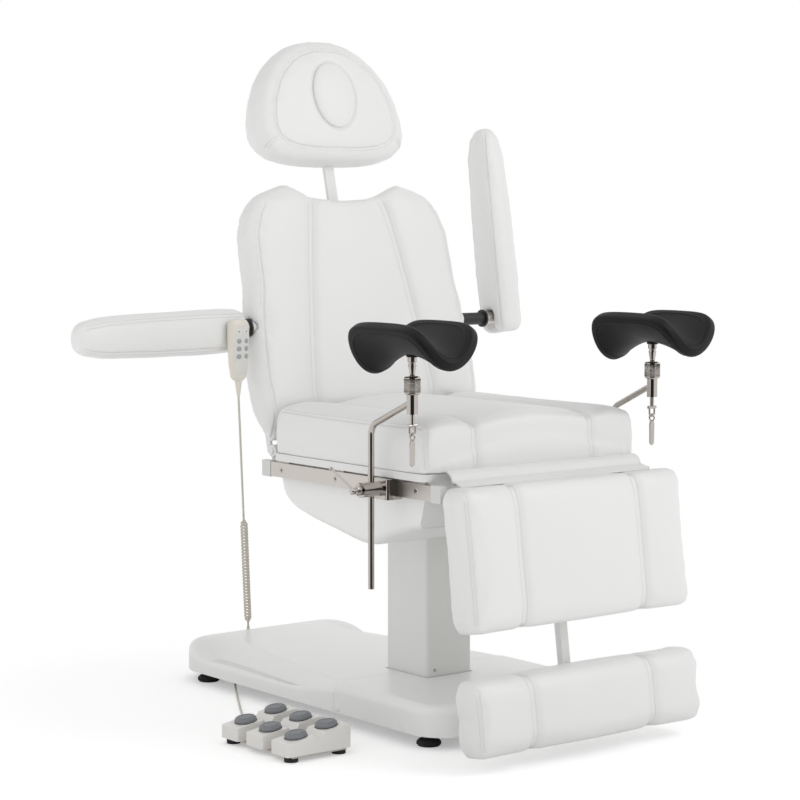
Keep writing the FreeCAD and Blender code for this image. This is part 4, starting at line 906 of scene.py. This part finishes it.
# %% Press the seams
CHANNEL_DEPTH, CHANNEL_WIDTH = 0.0055, 0.012
SEAM_DEPTH, SEAM_WIDTH, SEAM_REACH = 0.0024, 0.0030, 0.009
RIPPLE, RIPPLE_SIZE = 0.0007, 11.0
seam_lines = {}
for name, piece in cushions.items():
    mesh = piece.data
    places = coordinates(mesh)
    wave = np.array([noise.noise(Vector(place) * RIPPLE_SIZE) for place in places])
    move_to(mesh, places + coordinates(mesh, "normal") * (RIPPLE * wave)[:, None])
    target = skin(mesh)
    deep = [touch(target, rays) for rays in channels[name]]
    fine = [touch(target, rays) for rays in edges[name]]
    if deep:
        press(mesh, deep, CHANNEL_DEPTH, CHANNEL_WIDTH)
    refine(mesh, deep + fine, SEAM_REACH)
    press(mesh, deep + fine, SEAM_DEPTH, SEAM_WIDTH)
    seam_lines[name] = deep + fine
    print(name, len(deep), "channels", len(fine), "edges")

# %% [markdown]
# ## Stitches
# Two rows of thread run beside every seam. Geometry nodes set one short bar on each point of a row,
# turned along the row; the same node group later makes knurls and ribs.

# %% Rows of bars
def bar_group():
    """A node group that sets a bar on each point, along the point's own direction."""
    group = bpy.data.node_groups.new("row_of_bars", "GeometryNodeTree")
    for title, kind in (("Geometry", "Geometry"), ("Radius", "Float"), ("Length", "Float"),
                        ("Sides", "Int"), ("Material", "Material")):
        group.interface.new_socket(title, in_out="INPUT", socket_type="NodeSocket" + kind)
    group.interface.new_socket("Geometry", in_out="OUTPUT", socket_type="NodeSocketGeometry")
    given = add(group, "NodeGroupInput").outputs
    bar = add(group, "GeometryNodeMeshCylinder", {
        "Vertices": given["Sides"], "Radius": given["Radius"], "Depth": given["Length"]})
    along = add(group, "GeometryNodeInputNamedAttribute", {"Name": "along"}, data_type="FLOAT_VECTOR")
    turn = add(group, "FunctionNodeAlignRotationToVector", {"Vector": along.outputs["Attribute"]},
               axis="Z")
    copies = add(group, "GeometryNodeInstanceOnPoints", {
        "Points": given["Geometry"], "Instance": bar.outputs["Mesh"],
        "Rotation": turn.outputs["Rotation"]})
    real = add(group, "GeometryNodeRealizeInstances", {"Geometry": copies.outputs["Instances"]})
    dressed = add(group, "GeometryNodeSetMaterial", {
        "Geometry": real.outputs["Geometry"], "Material": given["Material"]})
    add(group, "NodeGroupOutput", {"Geometry": dressed.outputs["Geometry"]})
    return group


BARS = bar_group()
BAR_INPUTS = {item.name: item.identifier for item in BARS.interface.items_tree
              if item.in_out == "INPUT"}


def bars(name, spots, directions, radius, length, sides, body, finish, material=None):
    """A piece of many bars, one on each spot."""
    mesh = bpy.data.meshes.new(name)
    mesh.from_pydata(spots, [], [])
    mesh.attributes.new("along", "FLOAT_VECTOR", "POINT").data.foreach_set(
        "vector", np.array(directions, dtype=np.float32).ravel())
    holder = linked(name, mesh)
    maker = holder.modifiers.new("bars", "NODES")
    maker.node_group = BARS
    for title, value in (("Radius", radius), ("Length", length), ("Sides", sides),
                         ("Material", FINISH[material or finish])):
        maker[BAR_INPUTS[title]] = value
    made = evaluated(holder)
    bpy.data.objects.remove(holder)
    return new_piece(name, made, body, finish, material=material)


# %% [markdown]
# Thread: 3.4 mm stitches every 5 mm, 4 mm from the seam.

# %% Stitch the cushions
STITCH, STITCH_STEP, STITCH_ASIDE, THREAD_RADIUS, THREAD_SIDES = 0.0034, 0.005, 0.004, 0.00045, 5
THREAD_LIFT = 0.0001
BODY_OF = {name: body for _, name, body, *_ in UPHOLSTERY}


def stitch(name, spots, directions, body, finish, thread):
    bars(name + "_stitches", spots, directions, THREAD_RADIUS, STITCH, THREAD_SIDES, body, finish,
         thread)
    print(name, len(spots), "stitches")


for name, lines in seam_lines.items():
    target = skin(cushions[name].data)
    spots, directions = [], []
    for mark, along in [step for line in lines for step in steps_along(line, STITCH_STEP)]:
        aside = along.cross(target.find_nearest(mark)[1]).normalized() * STITCH_ASIDE
        for offset in (aside, -aside):
            spot, normal, *_ = target.find_nearest(mark + offset)
            spots.append(spot + normal * THREAD_LIFT)
            directions.append(along)
    stitch(name, spots, directions, BODY_OF[name], "upholstery", "thread")

# %% [markdown]
# ## Knee saddles
# A saddle is drawn by formula: its long sides rise round the leg and keep straight top edges, and
# its two ends drop away between them, the rear one further. Rings run from the middle to a square
# rim with a welt on each side.

# %% Knee saddles
SADDLE_HALF, SADDLE_LONG, SADDLE_THICK, SADDLE_POWER = 78.0, 124.0, 25.0, 5.0
SADDLE_RISE, DROP_REAR, DROP_FRONT = 47.0, 50.0, 30.0
RIM_START, WELT, WELT_WIDTH, WELT_HIGH, WELT_TO_STITCH = 0.84, 0.90, 0.010, 1.3, 0.035
SADDLE_SPOT = (321, -346, 799)
SADDLE_SIDES, STITCH_SIDES = 168, 399
HUB = ((7, -4.4), (11, -4.4), (12, -3.4), (12, 9.4), (7, 9.4))
RINGS = np.concatenate([np.linspace(0.02, 0.82, 22), np.linspace(RIM_START, 0.96, 20),
                        1 - 0.035 * np.linspace(1, 0, 9) ** 2])


def saddle_middle(x, y):
    """Height of the saddle's middle layer above its lowest crossing, and its normal."""
    u, v = x / SADDLE_HALF, y / SADDLE_LONG
    drop = DROP_REAR if v > 0 else DROP_FRONT
    high = SADDLE_RISE * u ** 2 - drop * v ** 2 * (1 - u ** 2)
    slope_x = (2 * SADDLE_RISE * u + drop * v ** 2 * 2 * u) / SADDLE_HALF
    slope_y = -2 * drop * v * (1 - u ** 2) / SADDLE_LONG
    return high, Vector((-slope_x, -slope_y, 1)).normalized()


def saddle_point(share, c, s, layer):
    """A point of the saddle's skin in millimetres: layer +1 is the top, -1 the underside."""
    reach = share * (abs(c) ** SADDLE_POWER + abs(s) ** SADDLE_POWER) ** (-1 / SADDLE_POWER)
    x, y = SADDLE_HALF * reach * c, SADDLE_LONG * reach * s
    high, normal = saddle_middle(x, y)
    rim = max(0.0, (share - RIM_START) / (1 - RIM_START))
    thick = SADDLE_THICK / 2 * (1 - min(1.0, rim) ** 4) ** 0.25
    thick += WELT_HIGH * math.exp(-((share - WELT) / WELT_WIDTH) ** 2)
    return Vector((x, y, high + SADDLE_THICK / 2)) + normal * (layer * thick)


saddle_rings = [(share, -1) for share in RINGS[:-1]] + [(share, 1) for share in RINGS[::-1]]
for side, sign in SIDES:
    name, body = f"knee_saddle_{side}", f"knee_pad_{side}"
    place = CHAIR @ Matrix.Translation((sign * SADDLE_SPOT[0], *SADDLE_SPOT[1:]))
    rings = [[at(place, *saddle_point(share, c, s, layer)) for c, s in circle(SADDLE_SIDES)]
             for share, layer in saddle_rings]
    saddle = new_piece(name, closed_rings(name, rings), body, "black_pad", f"knee_pad_{side}")
    hub = f"knee_hub_{side}"
    new_piece(hub, turned(hub, HUB, place), body, "black_pad").data.shade_flat()
    round_once = circle(STITCH_SIDES) + circle(STITCH_SIDES)[:1]
    marks = []
    for layer in (1, -1):
        ring = [saddle_point(WELT - WELT_TO_STITCH, c, s, layer) for c, s in round_once]
        marks += steps_along(ring, 1000 * STITCH_STEP)
    stitch(name, [at(place, *mark) for mark, _ in marks], [along for _, along in marks], body,
           "black_pad", "black_thread")

# %% [markdown]
# ## The rear base cover
# The cover is a height field: a level top, with a long hollow beside each edge. A hollow is deepest
# in its middle; a low lip keeps it in on the outside and a round ridge rises on the inside. It
# closes before the seam and before the rear corner. The shell is 4 mm thick, open below, at the
# seam, at the column and at the sockets.

# %% Rear base cover
BASE_HALF, BASE_SEAM, BASE_REAR, CORNER = 240.0, 20.5, 640.0, 95.0
BASE_TOP, BASE_LOW, BASE_WALL, BASE_CREASE = 90.0, 26.0, 4.0, 50
LIP_DROP, FLOOR_DROP, RIDGE_NEAR, RIDGE_FAR, RIDGE_CURVE = 33.0, 39.0, 26.0, 132.0, 1.25
LIP_WIDE, LIP_SHARE, BED_WIDE, BED_SHARE = 6, 0.1, 40, 0.45
REAR_FROM, REAR_CLOSE, SEAM_CLOSE, SEAM_LEFT = 22, 120, 170, 0.2
EDGE_ROUND, LIP_ROUND = 20.0, 8.0
COLUMN_GAP, WINDOW = (64.0, 73.0), (62.0, 38.0, 68.0)
CLOSE = 0.1


def cover_height(x, y):
    """The cover's top in millimetres."""
    over = np.maximum(0, y - (BASE_REAR - CORNER))
    beyond = np.maximum(0, np.abs(x) - (BASE_HALF - CORNER))
    aside = BASE_HALF - np.abs(x)
    gap = np.where((over > 0) & (beyond > 0), CORNER - np.hypot(over, beyond),
                   np.minimum(aside, BASE_REAR - y))
    gap = np.maximum(0, gap)
    along = (y - BASE_SEAM) / (BASE_REAR - BASE_SEAM)
    opened = ease((BASE_REAR - REAR_FROM - y) / REAR_CLOSE)
    opened = opened * (SEAM_LEFT + (1 - SEAM_LEFT) * ease((y - BASE_SEAM) / SEAM_CLOSE))
    ridge = RIDGE_NEAR + (RIDGE_FAR - RIDGE_NEAR) * np.clip(along, 0, 1) ** RIDGE_CURVE
    lip, bed = np.minimum(LIP_WIDE, LIP_SHARE * ridge), np.minimum(BED_WIDE, BED_SHARE * ridge)
    down = LIP_DROP + (FLOOR_DROP - LIP_DROP) * ease((aside - lip) / (bed - lip))
    down = down * (1 - ease((aside - bed) / (ridge - bed)))
    bend = EDGE_ROUND + (LIP_ROUND - EDGE_ROUND) * opened
    short = np.clip(bend - gap, 0, bend)
    return BASE_TOP - down * opened - (bend - np.sqrt(bend ** 2 - short ** 2))


# Lanes are shares of the half width and steps run to the rear; both stand closer at the edges.
rear_half = BASE_HALF - CORNER
lanes = np.concatenate([np.linspace(0, COLUMN_GAP[0] / BASE_HALF, 5), [0.34, WINDOW[0] / rear_half],
                        np.linspace(0.44, 0.9, 38), np.linspace(0.908, 1, 13)])
lanes = np.concatenate([-lanes[:0:-1], lanes])
steps = np.concatenate([np.linspace(BASE_SEAM, COLUMN_GAP[1], 14), np.linspace(78, 540, 96),
                        BASE_REAR - CORNER + CORNER * np.sin(np.linspace(0, math.pi / 2, 26))])
over = np.maximum(0, steps - (BASE_REAR - CORNER))
wide = rear_half + np.sqrt(CORNER ** 2 - np.minimum(over, CORNER) ** 2)
grid_x, grid_y = wide[:, None] * lanes[None, :], np.repeat(steps[:, None], len(lanes), axis=1)
grid_z = cover_height(grid_x, grid_y)
rows, lines = grid_x.shape
verts = list(zip(grid_x.ravel(), grid_y.ravel(), grid_z.ravel()))


def in_column(i, k):
    """Whether a cell of the cover's grid lies in the gap round the column."""
    across = max(abs(lanes[k]), abs(lanes[k + 1])) * BASE_HALF
    return across < COLUMN_GAP[0] + CLOSE and steps[i + 1] < COLUMN_GAP[1] + CLOSE


def in_window(spots):
    """Whether a stretch of the cover's edge lies above the sockets."""
    return (min(spot[1] for spot in spots) > BASE_REAR - CLOSE
            and max(abs(spot[0]) for spot in spots) < WINDOW[0] + CLOSE)


faces = grid_faces(rows, lines, in_column)
edge = grid_rim(rows, lines)[:2 - lines]
rear_edge = float(grid_z[-1, lines // 2])
upper = edge
for level, height in enumerate((WINDOW[2], WINDOW[1], BASE_LOW)):
    share = (rear_edge - height) / (rear_edge - BASE_LOW)
    lower = list(range(len(verts), len(verts) + len(edge)))
    verts += [(x, y, z + (BASE_LOW - z) * share) for x, y, z in (verts[index] for index in edge)]
    for n in range(len(edge) - 1):
        if level != 1 or not in_window([verts[edge[n]], verts[edge[n + 1]]]):
            faces.append((upper[n + 1], upper[n], lower[n], lower[n + 1]))
    upper = lower
verts = [at(CHAIR, *spot) for spot in verts]
cover_mesh = mended("base_rear_shell", verts, faces, at(CHAIR, 0, 330, 30))
cover = new_piece("base_rear_shell", cover_mesh, "base", "moulding", "base_cover_rear")
thicken(cover, BASE_WALL, BASE_CREASE)
print("rear cover", len(cover.data.polygons), "faces")

# %% [markdown]
# ## The flap
# A strip of vinyl closes the gap between the seat and the calf rest. It comes out from under the
# seat cushion, rolls over the hinge and is held behind the calf cushion.

# %% Flap over the leg hinge
FLAP_HALF, FLAP_THICK, FLAP_STEP, FLAP_LANES, ROLL = 253, 2.0, 2.0, 90, 22.8
FLAP_END = ((-27, -0.6), (-34, -2.5), (-41, -7), (-50, -12))
SWAY, SWAY_ACROSS, SWAY_ALONG, SWAY_SEED = 0.7, 0.012, 0.15, 3.0
profile = [LEG.inverted() @ at(CHAIR, 0, -336.5, 563.8), LEG.inverted() @ at(CHAIR, 0, -343, 566)]
for angle in map(math.radians, range(112, 2, -9)):
    profile.append(Vector((0, -ROLL * math.cos(angle), ROLL * math.sin(angle))))
flap_line = even(profile + [Vector((0, *spot)) for spot in FLAP_END], FLAP_STEP)
count = len(flap_line)
verts = []
for layer in (1, -1):
    for x in np.linspace(-FLAP_HALF, FLAP_HALF, FLAP_LANES):
        for i, spot in enumerate(flap_line):
            ahead = flap_line[min(i + 1, count - 1)] - flap_line[max(i - 1, 0)]
            out = Vector((0, ahead.z, -ahead.y)).normalized()
            sway = SWAY * noise.noise(Vector((x * SWAY_ACROSS, i * SWAY_ALONG, SWAY_SEED)))
            sway *= math.sin(math.pi * i / count)
            verts.append(at(LEG, x, *(spot + out * (layer * FLAP_THICK / 2 + sway)).yz))
flap_mesh = mended("leg_flap", verts, slab_faces(FLAP_LANES, count))
flap = new_piece("leg_flap", flap_mesh, None, "upholstery", "leg_bridge")
run(flap_line) / 1000
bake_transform(flap)
print("flap", round(run(flap_line)), "mm long")

# %% [markdown]
# ## The under-seat cover
# The cover is a deep tray: upright sides that round into a floor, which falls from the rear to just
# before the column and rises again to the front. The sides end on a rake. The floor is open round
# the column, and the rear is open for the back's frame.

# %% Under-seat cover
HULL = ((194, 480), (190, 467), (183, 457), (170, 448), (150, 439), (98, 426), (74, 421), (19, 411),
        (-36, 400), (-66, 395), (-74, 394), (-91, 393), (-115, 395), (-140, 405), (-165, 416),
        (-190, 424), (-230, 436), (-268, 444))
HULL_TOP, HULL_HALF, HULL_FOOT, HULL_ROUND, HULL_CREASE = 546.5, 259.0, 244.0, 20.0, 40
HULL_WALL, HULL_HOLE, RAKE, RAKE_FROM = 3.0, (65.0, 74.0), 0.5, -190.0
FLAT_LANES = (195, 160, 130, 100, HULL_HOLE[0], 32)


def hull_section(y, low):
    """Half a slice of the tray from its upper edge to beside the middle of its floor."""
    half = [(HULL_HALF + (HULL_FOOT - HULL_HALF) * t, HULL_TOP + (low + HULL_ROUND - HULL_TOP) * t)
            for t in np.linspace(0, 1, 10)]
    half += [(HULL_FOOT - HULL_ROUND * (1 - math.cos(a)), low + HULL_ROUND * (1 - math.sin(a)))
             for a in np.linspace(0, math.pi / 2, 8)[1:]]
    half += [(x, low) for x in FLAT_LANES]
    push = max(0.0, (RAKE_FROM - y) / (RAKE_FROM - HULL[-1][0])) * RAKE
    return [(x, y - push * (z - HULL[-1][1]), z) for x, z in half]


verts = []
for y, low in HULL:
    half = hull_section(y, low)
    row = half + [(0, half[-1][1], low)] + [(-x, y_, z) for x, y_, z in reversed(half)]
    verts += [at(CHAIR, *spot) for spot in row]


def in_hole(i, k):
    """Whether a cell of the tray's grid lies in the hole for the column."""
    return (max(abs(HULL[i][0]), abs(HULL[i + 1][0])) < HULL_HOLE[1] + CLOSE
            and max(abs(row[k][0]), abs(row[k + 1][0])) < HULL_HOLE[0] + CLOSE)


faces = grid_faces(len(HULL), len(row), in_hole)
hull_mesh = mended("under_cover", verts, faces, at(CHAIR, 0, 0, 500))
hull = new_piece("under_cover", hull_mesh, "carriage", "moulding", "seat_under_cover")
thicken(hull, HULL_WALL, HULL_CREASE)
print("under-seat cover", len(hull.data.polygons), "faces")

# %% [markdown]
# A wall closes the tray's front in two parts, with a slot between them for the leg motor's rod.

# %% Front wall of the cover
SLOT_X, WALL_IN, WALL_BACK, WALL_UP = (70, 130), 1.5, 1.0, 1
front_half = hull_section(*HULL[-1])[:-len(FLAT_LANES)]
verts, faces = [], []
for part in (lambda half: (-half, -half / 2, 0, SLOT_X[0]), lambda half: (SLOT_X[1], half)):
    faces += slab_faces(len(front_half), len(part(0)), len(verts))
    for layer in (WALL_BACK, WALL_BACK + HULL_WALL):
        for half, y, z in front_half:
            verts += [at(CHAIR, x, y + layer, z + WALL_UP) for x in part(half - WALL_IN)]
wall_mesh = mended("under_cover_front", verts, faces)
wall = new_piece("under_cover_front", wall_mesh, "carriage", "moulding")
wall.data.shade_flat()
print("front wall", len(faces), "faces")

# %% [markdown]
# ## Things that sit on a surface
# Keys, screw heads, caps and the head rest's oval pad all sit on something. One function casts an
# outline onto the surface below and lifts it by a profile, so each piece follows the curve that it
# lies on.

# %% Domes
CAST_FROM = 0.05


def dome(name, target, place, spot, across, up, halves, lifts, body, finish, power=2.0, sides=40,
         material=None):
    """A low form on a surface: lifts are (share of the outline, height in mm) from the rim in."""
    across, up = Vector(across), Vector(up)
    away = (place.to_3x3() @ across.cross(up)).normalized()
    outline = [[math.copysign(abs(t) ** (2 / power), t) for t in pair] for pair in circle(sides)]
    rings = []
    for share, lift in lifts:
        ring = []
        for c, s in outline:
            aside = across * (halves[0] * share * c) + up * (halves[1] * share * s)
            flat = place @ (Vector(spot) + aside)
            hit = target.ray_cast(flat + away * CAST_FROM, -away)[0]
            ring.append((flat if hit is None else hit) + away * (lift / 1000))
        rings.append(ring)
    return new_piece(name, closed_rings(name, rings), body, finish, material=material)


# %% [markdown]
# The oval pad is sewn into the head rest: its rim dips into a groove and its face crowns above.

# %% Oval head pad
OVAL, OVAL_SPOT, OVAL_SIDES, OVAL_LINE = (55, 74), (0, -52, 774), 72, 120
GROOVE_DEPTH, GROOVE_WIDTH, OVAL_CROWN, OVAL_POWER = 0.005, 0.006, 8.5, 3.5
head_mesh = cushions["head_pad"].data
head_skin = skin(head_mesh)
oval_line = [(OVAL[0] * math.cos(a), OVAL_SPOT[1], OVAL_SPOT[2] + OVAL[1] * math.sin(a))
             for a in np.linspace(0, 2 * math.pi, OVAL_LINE)]
press(head_mesh, [touch(head_skin, onto(BACK, oval_line, FRONT))], GROOVE_DEPTH, GROOVE_WIDTH)
oval_lifts = [(0.97, -6.0), (0.99, -3.0)]
for share in (0.995, 0.98, 0.95, 0.9, 0.82, 0.7, 0.5, 0.25, 0.02):
    oval_lifts.append((share, -1.5 + OVAL_CROWN * math.sqrt(1 - share ** OVAL_POWER)))
oval = dome("head_oval_pad", head_skin, BACK, OVAL_SPOT, (1, 0, 0), UP, OVAL, oval_lifts, "head",
            "upholstery", sides=OVAL_SIDES)
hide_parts("head_inset")
print("oval pad on the head rest")

# %% [markdown]
# ## The handset
# Its face has a grey foil, six keys in two columns and two small lamps. The lettering of the real
# foil is left off. The ribbed sleeve below keeps the cord from kinking.

# %% Handset face
FACE_A, FACE_B, INNER = 53, -22, (0, 1, 0)
FOIL_LIFTS = ((1.0, -0.2), (1.0, 0.35), (0.985, 0.5), (0.6, 0.5), (0.02, 0.5))
KEY_LIFTS = ((1.0, 0.2), (1.0, 1.2), (0.9, 1.8), (0.5, 2.1), (0.02, 2.2))
LAMP_LIFTS = ((1.0, 0.2), (0.9, 0.9), (0.02, 1.1))
KEY_ASIDE, KEY_ROWS, LAMP_ROW = 11.0, (-22, -38, -54), -2
RELIEF_RIBS, RELIEF_STEP, RELIEF_GROW, RIB_LOW = 9, 3.4, 0.42, 0.6
body_skin = skin(NODES["handset_body"].data)


def on_face(name, aside, height, halves, lifts, finish, material, **rest):
    """A low form on the handset's face."""
    dome(name, body_skin, RIGHT_ARM, (FACE_A, FACE_B + aside, height), INNER, UP, halves, lifts,
         "arm_right", finish, material=material, **rest)


on_face("handset_foil", 0, -42, (21, 52), FOIL_LIFTS, "handset_plastic", "foil", power=5.0, sides=64)
for letter, aside in (("a", -KEY_ASIDE), ("b", KEY_ASIDE)):
    for row, height in enumerate(KEY_ROWS):
        on_face(f"handset_key_{row}_{letter}", aside, height, (6.0, 5.0), KEY_LIFTS,
                "handset_plastic", "key", sides=24)
    on_face(f"handset_lamp_{letter}", aside, LAMP_ROW, (1.6, 1.6), LAMP_LIFTS, "grey_plastic", "lamp",
            sides=16)
ribs = [(3.4, -136.2)]
for k in range(RELIEF_RIBS):
    wide, foot = 3.9 + RELIEF_GROW * k, -135.8 + RELIEF_STEP * k
    low = wide - RIB_LOW
    ribs += [(wide, foot), (wide, foot + 1.6), (low, foot + 2.2), (low, foot + 3)]
ribs += [(7.9, -104.5), (6, -104)]
relief = turned("handset_relief", ribs, RIGHT_ARM @ Matrix.Translation((FACE_A, FACE_B, 0)))
new_piece("handset_relief", relief, "arm_right", "handset_plastic")
print(2 * len(KEY_ROWS), "keys")

# %% [markdown]
# ## Fastenings and small fittings
# Countersunk screws hold the rails, plugs cover the base's screws and a knurl gives grip on the
# stirrups' collars. The foot buttons have a raised ring, and the levelling feet are ribbed for the
# hand.

# %% Small fittings
SCREW_LIFTS = ((1.0, -0.1), (0.98, 0.08), (0.5, 0.12), (0.02, 0.12))
SOCKET_SHADE_LIFTS = ((1.0, 0.05), (1.0, 0.18), (0.02, 0.18))
PLUG_LIFTS = ((1.0, -0.3), (1.0, 0.6), (0.85, 1.2), (0.4, 1.5), (0.02, 1.5))
HEAD_LIFTS = ((1.0, -0.1), (0.95, 0.6), (0.5, 1.0), (0.02, 1.0))
RING_LIFTS = ((1.0, -0.3), (1.0, 0.6), (0.95, 1.1), (0.86, 1.1), (0.8, 0.5), (0.76, 0.2), (0.3, 0.2),
              (0.02, 0.2))
RAIL_X, RAIL_Z, RAIL_SCREWS, PLUG_ROWS, PLUG_HIGH = 279, 526.5, (-305, -40, 150), (7, -212), 38
COLLAR_RADIUS, COLLAR_HIGH, KNURLS, KNURL_SLANTS = 16, 740, 56, (0.25, -0.25)
FEET_X, FEET_Y, FOOT_HIGH, FOOT_RADIUS, FOOT_RIBS = (-200, 200), (-248, 552), 6, 24.4, 44
KNURL, RIB = (0.0004, 0.027, 4), (0.0008, 0.006, 5)  # radius, length, sides
PEDAL, BUTTON_ASIDE, BUTTON_STEP, SLOPE = (-440, -88, 50), 37, 87, math.radians(9)
rail_skin, front_skin, column_skin = (skin(NODES[node].data)
                                      for node in ("side_rails", "base_cover_front", "column_outer"))
for side, sign in SIDES:
    for y in RAIL_SCREWS:
        spot = (sign * RAIL_X, y, RAIL_Z)
        dome(f"rail_screw_{side}_{y + 400}", rail_skin, CHAIR, spot, (0, sign, 0), UP, (6.5, 6.5),
             SCREW_LIFTS, "carriage", "bright_steel", sides=28)
        # The black hexagon on each screw head is painted shade for the socket's recess, drawn in the
        # black rubber finish.
        dome(f"rail_socket_shade_{side}_{y + 400}", rail_skin, CHAIR, spot, (0, sign, 0), UP, (2.6, 2.6),
             SOCKET_SHADE_LIFTS, "carriage", "rubber", sides=6)
for y in PLUG_ROWS:
    for side, sign in SIDES:
        dome(f"base_plug_{side}_{y + 300}", front_skin, CHAIR, (sign * BASE_HALF, y, PLUG_HIGH),
             (0, sign, 0), UP, (9, 9), PLUG_LIFTS, "base", "moulding", sides=28)
dome("column_screw", column_skin, CHAIR, (-40, -70, 104), (1, 0, 0), UP, (4.2, 4.2), HEAD_LIFTS,
     "base", "bright_steel", sides=20)
for side, sign in SIDES:
    place = CHAIR @ Matrix.Translation((sign * SADDLE_SPOT[0], SADDLE_SPOT[1], COLLAR_HIGH))
    spots, directions = [], []
    for c, s in circle(KNURLS):
        spots += [at(place, COLLAR_RADIUS * c, COLLAR_RADIUS * s, 0)] * 2
        directions += [Vector((-slant * s, slant * c, 1)).normalized() for slant in KNURL_SLANTS]
    bars(f"collar_knurl_{side}", spots, directions, *KNURL, f"stirrup_{side}", "bright_steel")
for x in FEET_X:
    for y in FEET_Y:
        spots = [at(CHAIR, x + FOOT_RADIUS * c, y + FOOT_RADIUS * s, FOOT_HIGH)
                 for c, s in circle(FOOT_RIBS)]
        bars(f"foot_ribs_{x + 200}_{y + 248}", spots, [UP] * FOOT_RIBS, *RIB, "base", "rubber")
for unit in (-1, 0, 1):
    for label, aside in (("outer", -BUTTON_ASIDE), ("inner", BUTTON_ASIDE)):
        name = f"pedal_button_{unit + 2}_{label}"
        tilt = CHAIR @ Matrix.Translation((PEDAL[0] + aside, PEDAL[1] - unit * BUTTON_STEP,
                                           PEDAL[2] + aside * math.tan(SLOPE)))
        dome(f"{name}_ring", skin(NODES[name].data), tilt @ Matrix.Rotation(-SLOPE, 4, "Y"),
             (0, 0, 10), (1, 0, 0), (0, 1, 0), (16.5, 16.5), RING_LIFTS, f"button_{unit + 2}_{label}",
             "grey_plastic", material="button")
print("fittings in place")
